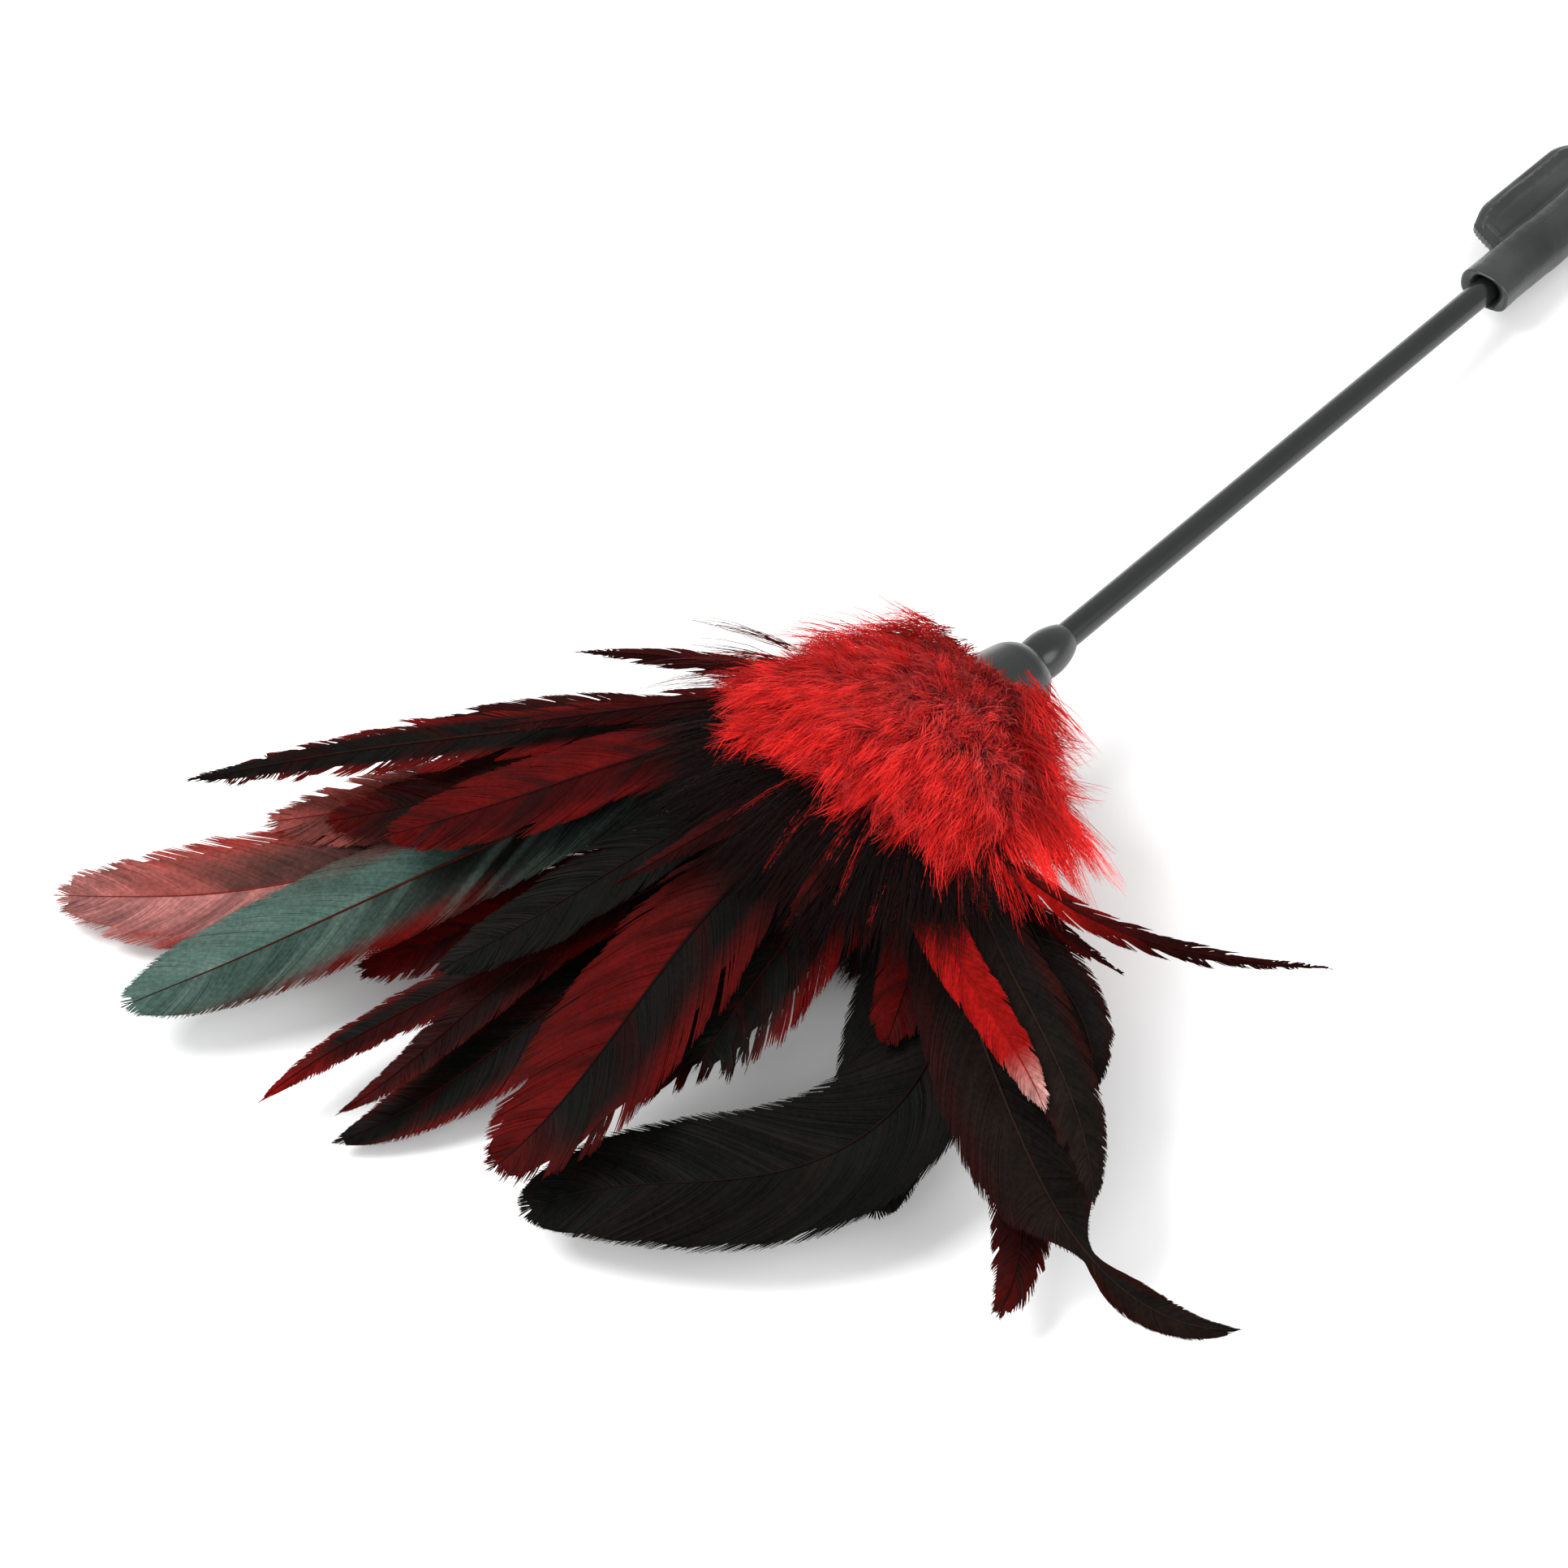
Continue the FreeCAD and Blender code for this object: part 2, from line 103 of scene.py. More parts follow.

# Dye of one feather: colours of its left and right vane near the quill, of its edges, of its tip,
# of its quill and of the streaks along its barbs. On the green-black feather the green and the light grey
# streaks are a painted sheen, not dye.
Dye = namedtuple("Dye", "left right edge tip quill streaks")
DYES = {
    "pink": Dye(PINK, PALE_PINK, srgb(142, 44, 38), PALE_PINK, srgb(110, 36, 32), GREY),
    "pink_dark": Dye(srgb(116, 46, 40), srgb(70, 30, 28), PINK, PINK, srgb(100, 30, 26), GREY),
    # the green and the light grey streaks of this black feather are a painted sheen
    "green": Dye(GREEN_SHEEN, srgb(26, 30, 27), RED, GREEN_SHEEN, srgb(58, 18, 13), srgb(84, 100, 93)),
    "black": Dye(BLACK, BLACK, BLACK, BLACK, srgb(22, 14, 12), BROWN),
    "black_red_edge": Dye(BLACK, BLACK, srgb(92, 9, 8), BLACK, srgb(34, 8, 6), DARK_RED),
    "forked": Dye(BLACK, DARK_RED, RED, BRIGHT, srgb(34, 8, 6), DARK_RED),
    "red": Dye(RED, DEEP_RED, RED, RED, srgb(44, 6, 5), SOOT),
    "dark_red": Dye(DARK_RED, srgb(24, 5, 4), DEEP_RED, RED, srgb(30, 6, 5), BLACK),
    "red_left": Dye(RED, BLACK, RED, RED, srgb(26, 8, 6), DARK_RED),
    "brown": Dye(BROWN, srgb(20, 16, 14), srgb(34, 10, 8), BROWN, srgb(36, 24, 20), BLACK),
    "bright": Dye(BRIGHT, srgb(128, 12, 10), BRIGHT, srgb(190, 150, 142), srgb(118, 12, 10), RED),
    "hackle": Dye(DEEP_RED, DARK_RED, DEEP_RED, DARK_RED, srgb(22, 6, 5), SOOT),
    "hackle_bright": Dye(BRIGHT, RED, BRIGHT, DARK_RED, srgb(40, 6, 5), SOOT),
}

# ---- feathers ----
# The first fields are the CAD's: tuft, layer, turns (direction at the root, at one and two thirds, and at
# the tip), length, width and shape. dye: its colours. fray: 0 for a closed vane, 1 for one split into points.
Feather = namedtuple("Feather", "name tuft layer turns length width shape dye fray")
FEATHERS = [
    Feather("left_pink_long", "left", 1, (40, 40, 43, 53), 209, 36, "broad", "pink", 0.35),
    Feather("left_green_black", "left", 4, (31, 35, 28, 22), 200, 32, "broad", "green", 0.08),
    Feather("left_dark_outer", "left", 7, (39, 51, 52, 39), 175, 16, "pointed", "black_red_edge", 0.8),
    Feather("left_red_inner", "left", 8, (34, 34, 37, 41), 129, 24, "broad", "red", 0.3),
    Feather("left_red_under", "left", 1, (20, 27, 30, 34), 143, 20, "broad", "red", 0.6),
    Feather("left_pink_middle", "left", 2, (46, 46, 48, 50), 156, 24, "broad", "pink_dark", 0.6),
    Feather("left_dark_short", "left", 4, (52, 53, 55, 56), 124, 20, "broad", "dark_red", 0.5),
    Feather("left_red_middle", "left", 5, (39, 41, 45, 49), 142, 22, "broad", "dark_red", 0.4),
    Feather("left_hackle_outer", "left", 8, (60, 61, 62, 63), 81, 8, "hackle", "hackle", 0.8),
    Feather("left_hackle_inner", "left", 9, (44, 45, 47, 50), 102, 8, "hackle", "hackle", 0.8),
    Feather("centre_forked", "centre", 3, (21, 21, 28, 2), 185, 26, "pointed", "forked", 0.3),
    Feather("centre_dark_long", "centre", 0, (12, 17, 14, 31), 173, 26, "pointed", "black_red_edge", 0.07),
    Feather("centre_red_broad", "centre", 6, (8, 4, -5, 13), 159, 34, "broad", "red_left", 0.45),
    Feather("centre_dark_fringed", "centre", 3, (-6, -6, -7, -7), 107, 30, "broad", "black_red_edge", 1.0),
    Feather("centre_dark_side", "centre", 6, (30, 21, 20, 25), 135, 18, "broad", "black", 0.4),
    Feather("centre_red_under", "centre", 0, (-8, -1, 3, 6), 119, 22, "broad", "dark_red", 0.7),
    Feather("centre_hackle_left", "centre", 9, (14, 15, 17, 20), 93, 8, "hackle", "hackle", 0.8),
    Feather("centre_hackle_right", "centre", 9, (-10, -10, -10, -10), 78, 8, "hackle", "hackle", 0.8),
    Feather("right_black_sickle", "right", 2, (0, -36, 36, 20), 191, 36, "broad", "black", 0.02),
    Feather("right_black_short", "right", 1, (-22, -26, -31, -34), 121, 26, "broad", "black", 0.04),
    Feather("right_red_small", "right", 1, (-40, -43, -50, -8), 144, 16, "broad", "dark_red", 0.4),
    Feather("right_dark_twisted", "right", 5, (0, -54, -64, -138), 184, 30, "pointed", "brown", 0.07),
    Feather("right_red_streak", "right", 8, (-9, -38, -67, -59), 113, 12, "even", "bright", 0.35),
    Feather("right_dark_curved", "right", 4, (-22, -59, -75, -12), 102, 18, "pointed", "brown", 0.3),
    Feather("right_dark_narrow", "right", 7, (-23, -53, -63, -39), 131, 18, "pointed", "brown", 0.4),
    Feather("right_red_under", "right", 3, (-29, -26, -23, -22), 82, 16, "broad", "red", 0.3),
    Feather("right_hackle_long", "right", 9, (-23, -74, -113, -133), 126, 7, "hackle", "hackle_bright", 1.0),
    Feather("right_hackle_short", "right", 5, (-38, -56, -80, -91), 76, 7, "hackle", "hackle", 1.0),
]

# Where a vane is pinched by a twist: fraction of the length and how long the pinch is.
WAISTS = {"right_dark_twisted": (0.79, 0.07)}

# A feather whose vane has split along its length into strips: turns, length, width and dye of each strip.
STRIPS = {
    "centre_forked": [((21, 21, 28, 2), 185, 14, "forked"), ((0, 28, 12, 17), 172, 14, "dark_red")],
}


# ---- helpers ----
def smooth(value):
    value = np.clip(value, 0.0, 1.0)
    return value * value * (3.0 - 2.0 * value)


def unit(vectors):
    return vectors / np.maximum(np.linalg.norm(vectors, axis=-1, keepdims=True), 1e-9)


def mix(first, second, share):
    return first + (second - first) * share[..., None]


class Shape:
    """Vertices, faces and vertex colours of one piece, gathered before the mesh is made."""

    def __init__(self):
        self.points, self.quads, self.tints, self.count = [], [], [], 0

    def add(self, points, quads, tints):
        self.points.append(points.reshape(-1, 3))
        self.quads.append(quads.reshape(-1, 4) + self.count)
        self.tints.append(np.broadcast_to(tints, points.shape).reshape(-1, 3))
        self.count += points.size // 3

    def ribbons(self, centres, across, tints):
        """Strips along rows of centre points (n, k, 3); across is the vector to one of their two edges."""
        rows, steps = centres.shape[:2]
        points = np.stack([centres - across, centres + across], axis=2)
        first = (np.arange(rows)[:, None] * steps + np.arange(steps - 1)[None, :]) * 2
        quads = np.stack([first, first + 1, first + 3, first + 2], axis=-1)
        self.add(points, quads, np.repeat(tints[:, :, None, :], 2, axis=2))

    def tube(self, centres, radii, tints, sides=7):
        """Round tube with open ends along one row of points (k, 3)."""
        steps = len(centres)
        along = unit(np.gradient(centres, axis=0))
        level = unit(np.cross(along, [0.0, 0.0, 1.0]))
        upward = np.cross(level, along)
        angles = np.arange(sides) * 2 * math.pi / sides
        beside_axis = level[:, None, :] * np.cos(angles)[None, :, None]
        above_axis = upward[:, None, :] * np.sin(angles)[None, :, None]
        ring = beside_axis + above_axis
        points = centres[:, None, :] + ring * radii[:, None, None]
        step, side = np.meshgrid(np.arange(steps - 1), np.arange(sides), indexing="ij")
        beside = (side + 1) % sides
        quads = np.stack([step * sides + side, step * sides + beside,
                          (step + 1) * sides + beside, (step + 1) * sides + side], axis=-1)
        self.add(points, quads, np.repeat(tints[:, None, :], sides, axis=1))

    def build(self, name, material):
        points = np.concatenate(self.points)
        points[:, 2] = np.maximum(points[:, 2], SURFACE)
        quads = np.concatenate(self.quads)
        mesh = bpy.data.meshes.new(name)
        mesh.vertices.add(len(points))
        mesh.vertices.foreach_set("co", to_row(points).ravel())
        mesh.loops.add(quads.size)
        mesh.loops.foreach_set("vertex_index", quads.ravel().astype(np.int32))
        mesh.polygons.add(len(quads))
        mesh.polygons.foreach_set("loop_start", np.arange(0, quads.size, 4, dtype=np.int32))
        mesh.polygons.foreach_set("use_smooth", np.ones(len(quads), bool))
        mesh.update(calc_edges=True)
        colours = np.ones((len(points), 4), np.float32)
        colours[:, :3] = np.concatenate(self.tints)
        tint = mesh.color_attributes.new("Tint", "FLOAT_COLOR", "POINT")
        tint.data.foreach_set("color", colours.ravel())
        mesh.materials.append(material)
        piece = bpy.data.objects.new(name, mesh)
        bpy.context.scene.collection.objects.link(piece)
        return piece


def to_row(points):
    """From millimetres about the neck to the row frame in metres."""
    return (points + np.array([NECK[0], NECK[1], 0.0])) * 0.001


def on_rod(along, side, height):
    """Point at a distance along the tilted rod, beside it and above it."""
    x = along * math.cos(ROD_TILT) + height * math.sin(ROD_TILT)
    z = NECK_HEIGHT - along * math.sin(ROD_TILT) + height * math.cos(ROD_TILT)
    return np.stack(np.broadcast_arrays(x, side, z), axis=-1)


# ---- how a feather is made ----
def fan_centre_height():
    return NECK_HEIGHT - FAN_X * math.tan(ROD_TILT)


def layer_height(layer, x, y):
    reach = np.hypot(x - FAN_X, y)
    spacing = ROOT_SPACING + (FAN_SPACING - ROOT_SPACING) * smooth((reach - 10.0) / 50.0)
    droop = FAN_DROOP * smooth((reach - 55.0) / 135.0)
    return fan_centre_height() - droop + (layer - (LAYERS - 1) / 2) * spacing


def heading_at(feather, part):
    root, third, two_thirds, tip = feather.turns
    before, after = 1.0 - 3.0 * part, 2.0 - 3.0 * part
    heading = root * (1.0 - part) * before * after / 2
    heading += third * 4.5 * part * (1.0 - part) * after
    heading -= two_thirds * 4.5 * part * (1.0 - part) * before
    heading += tip * part * before * after / 2
    return np.radians(heading)


class Spine:
    """The quill's curve in plan, looked up by fraction of the length, a little past the tip too."""

    STEPS = 440
    PAST_TIP = 1.12

    def __init__(self, feather):
        self.feather = feather
        self.part = np.linspace(0.0, self.PAST_TIP, self.STEPS)
        heading = heading_at(feather, np.minimum(self.part, 1.0))
        step = feather.length * (self.part[1] - self.part[0])
        side = {"left": 1.0, "centre": 0.0, "right": -1.0}[feather.tuft]
        root = 2.0 if feather.tuft == "centre" else 3.6
        first_x, first_y = math.cos(heading[0]), math.sin(heading[0])
        self.x = FAN_X - root * first_x - np.cumsum(np.cos(heading)) * step + first_x * step
        self.y = side * TUFT_OFFSET + root * first_y + np.cumsum(np.sin(heading)) * step
        self.y -= first_y * step
        self.heading = heading

    def place(self, part, across):
        """Plan position at a fraction of the length and a distance to the left of the quill."""
        x = np.interp(part, self.part, self.x)
        y = np.interp(part, self.part, self.y)
        heading = np.interp(part, self.part, self.heading)
        return x + np.sin(heading) * across, y + np.cos(heading) * across


def half_width(feather, part):
    quill = 0.3 + 0.3 * smooth(part / VANE_START)
    rise, fall = VANE_PROFILES[feather.shape]
    peak = rise / (rise + fall)
    u = np.clip((part - VANE_START) / (1.0 - VANE_START), 0.0, 1.0)
    profile = (u / peak) ** rise * ((1.0 - u) / (1.0 - peak)) ** fall
    if feather.name in WAISTS:
        place, size = WAISTS[feather.name]
        pinch = 1.0 - 0.86 * np.exp(-((part - place) / size) ** 2)
        narrower_tip = 1.0 - 0.35 * smooth((part - place) / 0.1)
        profile = profile * pinch * narrower_tip
    return np.maximum(quill * (1.0 - u) * 0.6, feather.width / 2 * profile)


def clumps(count, mean, random):
    """Splits a row of barbs into clumps; gives each barb its clump's number and its place in it, -1 to 1."""
    lengths = []
    while sum(lengths) < count:
        lengths.append(int(random.uniform(0.4, 1.8) * mean) + 2)
    number = np.repeat(np.arange(len(lengths)), lengths)[:count]
    place = np.concatenate([np.linspace(-1.0, 1.0, length) for length in lengths])[:count]
    return number, place, len(lengths)


def mottle(feather, root, side):
    """Uneven dye in bands that follow the barbs, from 0 to 1, by the place where a barb leaves the quill."""
    phase = sum(ord(letter) for letter in feather.name) + 3.0 * side
    bands = np.sin(root * 31.0 + phase) + np.sin(root * 67.0 + 2.3 * phase)
    bands = bands + 0.6 * np.sin(root * 143.0 + phase)
    return smooth((bands - 0.1) / 1.6)


def dye_colour(feather, part, across, side, barb_noise, random_streak):
    """Colour of a vane at fractions of its length and of its half width."""
    dye = DYES[feather.dye]
    main = dye.left if side > 0 else dye.right
    colour = mix(np.broadcast_to(main, part.shape + (3,)), dye.edge, smooth((across - 0.5) / 0.4))
    colour = mix(colour, dye.tip, smooth((part - 0.86) / 0.14) * 0.8)
    # Painted sheen: this feather is black near its root and takes a painted green sheen towards its tip.
    if feather.dye == "green":
        on_this_side = 1.0 if side > 0 else 0.6 * (1.0 - smooth((across - 0.6) / 0.3))
        sheen = smooth((part - 0.56) / 0.24) * on_this_side
        colour = mix(np.broadcast_to(BLACK, colour.shape), colour, smooth((part - 0.48) / 0.2))
        colour = mix(colour, GREEN_SHEEN, sheen)
    dark_until = 0.62 if feather.tuft == "centre" else 0.5
    if feather.dye == "pink" and side > 0:
        dark_until = 0.72
        shadow = smooth((0.9 - part) / 0.16) * (1.0 - smooth((across - 0.4) / 0.4))
        colour = mix(colour, GREY, 0.85 * shadow)
    if "bright" not in feather.dye:
        colour = mix(colour, np.broadcast_to(SOOT, colour.shape), 0.9 * smooth((dark_until - part) / 0.25))
    if feather.dye == "hackle_bright":
        colour = mix(colour, np.broadcast_to(DARK_RED, colour.shape), smooth((part - 0.4) / 0.3))
    banded = (0.9 if "red" in feather.dye else 0.55) * mottle(feather, part - 0.1 * across, side)
    colour = mix(colour, dye.streaks, np.maximum(random_streak, banded) * (0.75 - 0.35 * across))
    return colour * (1.0 + 0.35 * barb_noise)[..., None]


def add_web(shape, feather, spine, side, random):
    """Thin sheet of interlocked barbs just under a vane's free barbs; narrower where the vane is frayed."""
    part = np.linspace(VANE_START, 0.985, WEB_ROWS)[:, None]
    q = np.linspace(0.0, 1.0, WEB_COLUMNS)[None, :]
    cover = 0.93 - 0.4 * feather.fray + 0.03 * np.sin(part * 70.0 + feather.length)
    outward = half_width(feather, part) * cover * q
    along = part + 0.0 * q
    x, y = spine.place(along, side * outward)
    z = layer_height(feather.layer, x, y) + rise_of(feather, along, side * outward) - QUILL_LIFT
    share = np.clip(outward / np.maximum(half_width(feather, part), 1.0), 0.0, 1.0)
    noise = random.normal(0.0, 0.15, along.shape)
    tints = dye_colour(feather, along, share, side, noise, 0.0 * along)
    points = np.stack([x, y, z], axis=-1)
    rows, columns = along.shape
    row, column = np.meshgrid(np.arange(rows - 1), np.arange(columns - 1), indexing="ij")
    first = row * columns + column
    quads = np.stack([first, first + 1, first + columns + 1, first + columns], axis=-1)
    # painted shade: the web under the barbs is drawn a fifth darker than its vane
    shape.add(points, quads, np.maximum(tints * 0.8, 0.001))


def barb_gaps(centres, direction):
    """Distance from each barb to the next, square to the barb."""
    step = np.diff(centres, axis=0, append=centres[-1:] * 2 - centres[-2:-1])
    step = step - (step * direction).sum(-1, keepdims=True) * direction
    return np.linalg.norm(step, axis=-1)


def add_vane(shape, feather, spine, side, random):
    """One vane: barbs side by side that leave the quill at a slant and bend towards the tip."""
    count = int(feather.length * (1.0 - VANE_START) / BARB_SPACING)
    part = VANE_START + (1.0 - VANE_START) * (np.arange(count) + 0.5) / count
    number, place, total = clumps(count, 26 - 14 * feather.fray, random)
    slant = math.tan(math.radians(HACKLE_SLANT if feather.shape == "hackle" else BARB_SLANT))
    lead = half_width(feather, np.minimum(part + 0.1, 0.97)) / slant / feather.length
    lead = np.minimum(lead, 0.75 * (1.0 - part)) + 0.004
    uneven = feather.fray * random.normal(0.0, 0.10, total)[number]
    lead = lead * (1.0 + uneven + random.normal(0, 0.02, count))
    ends = part + lead
    reach = np.maximum(half_width(feather, np.minimum(ends, 1.0)), 0.15)
    uneven = feather.fray * random.normal(0.0, 0.10, total)[number]
    reach = reach * (1.0 + uneven + random.normal(0, 0.015, count))
    gather = (feather.fray * random.uniform(0.1, 1.0, total))[number]
    clump_size = np.bincount(number, minlength=total)[number] * BARB_SPACING / feather.length
    stray = random.normal(0.0, 0.2 + 0.8 * feather.fray, count) / feather.length
    drift = -gather * place * clump_size * 0.45 + stray
    q = np.linspace(0.0, 1.0, BARB_POINTS)[None, :]
    bend = 2.0 * q * (1.0 - q)
    along = part[:, None] + lead[:, None] * (0.36 * bend + q ** 2) + drift[:, None] * q ** 2
    outward = reach[:, None] * (0.62 * bend + q ** 2)
    x, y = spine.place(along, side * outward)
    half = np.maximum(half_width(feather, part), 1.0)[:, None]
    share = np.clip(outward / half, 0.0, 1.0)
    z = layer_height(feather.layer, x, y) + rise_of(feather, along, side * outward)
    z = z + (random.normal(0.0, 0.30 * feather.fray + 0.04, total)[number])[:, None] * q ** 2
    z = z + random.normal(0.0, 0.03, count)[:, None] * q
    centres = np.stack([x, y, z], axis=-1)
    direction = unit(np.gradient(centres, axis=1))
    level = unit(np.cross(direction, [0.0, 0.0, 1.0]))
    tilt = (random.normal(0.0, 0.16, count) + 0.1 * side)[:, None, None]
    typical = BARB_SPACING * 0.6
    wide = np.clip(barb_gaps(centres, direction), 0.35 * typical, 1.5 * typical) * 0.75
    wide = wide * (1.0 - 0.7 * smooth((q - 0.84) / 0.16))
    across = unit(level + tilt * np.array([0.0, 0.0, 1.0])) * wide[..., None]
    noise = random.normal(0.0, 0.22, count)[:, None]
    noise = noise + random.normal(0.0, 0.25, total)[number][:, None] + 0.0 * q
    streaked = 0.55 if "pink" in feather.dye or "red" in feather.dye else 0.3
    streak = (random.random(total) < streaked)[number] * random.uniform(0.1, 0.95, count)
    streak = streak[:, None] * smooth(q * 1.5)
    tints = dye_colour(feather, np.minimum(along, 1.0), share, side, noise, streak)
    shape.ribbons(centres, across, np.maximum(tints, 0.001))


def rise_of(feather, part, across):
    """Height of the vane above its layer: a ridge along the quill, a low wave and a slight roll."""
    phase = sum(ord(letter) for letter in feather.name) % 17
    half = np.maximum(half_width(feather, np.clip(part, 0.2, 0.95)), 2.0)
    share = across / half
    wave = 0.45 * np.sin(part * 9.0 + phase) * smooth((part - 0.3) / 0.3)
    roll = 0.07 * math.sin(phase * 1.7) * across
    return 0.6 * (1.0 - share ** 2) - 0.3 + wave + roll


def add_quill(shape, feather, spine):
    part = np.linspace(0.0, 1.0, QUILL_POINTS)
    x, y = spine.place(part, 0.0 * part)
    z = layer_height(feather.layer, x, y) + rise_of(feather, part, 0.0 * part) + QUILL_LIFT
    radius = 0.62 * (1.0 - part) ** 0.9 + 0.07
    if feather.shape == "hackle":
        radius = radius * 0.6
    dye = DYES[feather.dye]
    tints = mix(np.broadcast_to(dye.quill * 0.8, (QUILL_POINTS, 3)), dye.quill, part)
    shape.tube(np.stack([x, y, z], axis=-1), radius, tints)


def add_root_down(shape, feather, spine, random):
    """Loose soft barbs on the lowest part of the quill."""
    count = int(feather.length * 1.1) if feather.shape != "hackle" else 24
    part = random.uniform(0.05, VANE_START + 0.16, count)
    side = random.choice([-1.0, 1.0], count)
    length = random.uniform(6.0, 13.0, count) * (1.0 if feather.shape != "hackle" else 0.5)
    q = np.linspace(0.0, 1.0, ROOT_DOWN_POINTS)[None, :]
    slant = np.radians(random.uniform(28.0, 62.0, count))[:, None] * (1.2 - 0.6 * q)
    curl = np.cumsum(random.normal(0.0, 0.35, (count, ROOT_DOWN_POINTS)), axis=1)
    outward = length[:, None] * q * np.sin(slant)
    forward = length[:, None] * q * np.cos(slant)
    x, y = spine.place(part[:, None] + forward / feather.length, side[:, None] * outward + curl * q)
    z = layer_height(feather.layer, x, y) + curl[:, ::-1] * q * 0.8
    centres = np.stack([x, y, z], axis=-1)
    level = unit(np.cross(unit(np.gradient(centres, axis=1)), [0.0, 0.0, 1.0]))
    wide = 0.14 * (1.0 - 0.75 * q) + 0.0 * slant
    dye = DYES[feather.dye]
    share = random.uniform(0.0, 1.0, (count, 1)) * q
    colour = mix(np.broadcast_to(SOOT, (count, ROOT_DOWN_POINTS, 3)), dye.edge * 0.6, share)
    shape.ribbons(centres, level * wide[..., None], colour)


def make_feather(feather, materials):
    random = np.random.default_rng(SEED + sum(ord(letter) * (i + 1) for i, letter in enumerate(feather.name)))
    shape = Shape()
    strips = STRIPS.get(feather.name, [(feather.turns, feather.length, feather.width, feather.dye)])
    for turns, length, width, dye in strips:
        strip = feather._replace(turns=turns, length=length, width=width, dye=dye)
        spine = Spine(strip)
        for side in (1, -1):
            add_vane(shape, strip, spine, side, random)
            add_web(shape, strip, spine, side, random)
        add_quill(shape, strip, spine)
        add_root_down(shape, strip, spine, random)
    slot = SLOTS[feather.name]
    piece = shape.build(feather.name + "_barbs", materials[slot])
    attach(piece, {"left": "left_tuft", "centre": "handle", "right": "right_tuft"}[feather.tuft])
    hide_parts(feather.name)


# ---- ruff ----
RUFF_BRIGHT = srgb(236, 46, 43)
RUFF_DEEP = srgb(176, 20, 18)
RUFF_DARK = srgb(34, 12, 10)
# Down at the rim: count, directions, strands, spread, gather, lengths, how far in from the rim, two colours.
SKIRTS = [
    (330, (-46, 44), 24, 4.0, 0.15, (20.0, 44.0), 9.0, (SOOT, srgb(24, 8, 7))),
    (64, (-52, 34), 20, 2.2, 0.9, (14.0, 28.0), 5.0, (RUFF_BRIGHT, srgb(120, 14, 12))),
    (80, (28, 64), 24, 3.0, 0.6, (10.0, 19.0), 8.0, (RUFF_BRIGHT, srgb(128, 14, 12))),
    (60, (-78, -44), 24, 2.8, 0.75, (14.0, 30.0), 8.0, (RUFF_BRIGHT, RUFF_DEEP)),
    (14, (46, 72), 12, 1.2, 0.95, (24.0, 38.0), 4.0, (srgb(84, 10, 9), DARK_RED)),
]
# Waves that make the ruff's heart bumpy: direction, rate per metre and shift.
BUMPS = [(np.array([0.8, 0.5, 0.3]), 420.0, 0.4), (np.array([-0.4, 0.8, 0.45]), 560.0, 1.9),
         (np.array([0.2, -0.6, 0.77]), 730.0, 3.1), (np.array([0.7, -0.1, -0.7]), 940.0, 5.0)]


def make_core(node, name, material):
    """Bumpy dense heart of one half of the ruff: the CAD's solid, drawn in a little. Returns its piece and,
    for each face, its centre, share of the area and normal."""
    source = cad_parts[node]
    rough = bpy.data.objects.new(name + "_rough", source.data.copy())
    bpy.context.scene.collection.objects.link(rough)
    remesh = rough.modifiers.new("remesh", "REMESH")
    remesh.mode = "VOXEL"
    remesh.voxel_size = 0.0021
    relax = rough.modifiers.new("relax", "SMOOTH")
    relax.iterations = 6
    mesh = bpy.data.meshes.new_from_object(rough.evaluated_get(bpy.context.evaluated_depsgraph_get()))
    bpy.data.objects.remove(rough)
    points = np.zeros(len(mesh.vertices) * 3)
    mesh.vertices.foreach_get("co", points)
    points = points.reshape(-1, 3)
    normals = np.array([vertex.normal for vertex in mesh.vertices])
    bump = sum(np.sin(points @ axis * rate + shift) for axis, rate, shift in BUMPS) / len(BUMPS)
    points = points - normals * (0.0026 - 0.0012 * bump)[:, None]
    mesh.vertices.foreach_set("co", points.ravel())
    mesh.materials.clear()
    mesh.materials.append(material)
    colours = np.ones((len(points), 4), np.float32)
    base = srgb(150, 17, 15) if "upper" in node else srgb(26, 9, 8)
    # painted shade: the heart's colour follows its bumps, darker in the hollows and lighter on the crests
    colours[:, :3] = base * (1.0 + 0.4 * bump)[:, None]
    tint = mesh.color_attributes.new("Tint", "FLOAT_COLOR", "POINT")
    tint.data.foreach_set("color", colours.ravel())
    mesh.polygons.foreach_set("use_smooth", np.ones(len(mesh.polygons), bool))
    mesh.update()
    piece = bpy.data.objects.new(name, mesh)
    bpy.context.scene.collection.objects.link(piece)
    centres = np.array([face.center for face in mesh.polygons]) * 1000.0 - np.array([NECK[0], NECK[1], 0.0])
    areas = np.array([face.area for face in mesh.polygons])
    outward = np.array([face.normal for face in mesh.polygons])
    return piece, centres, areas / areas.sum(), outward


def random_vectors(random, shape):
    return unit(random.normal(0.0, 1.0, shape + (3,)))


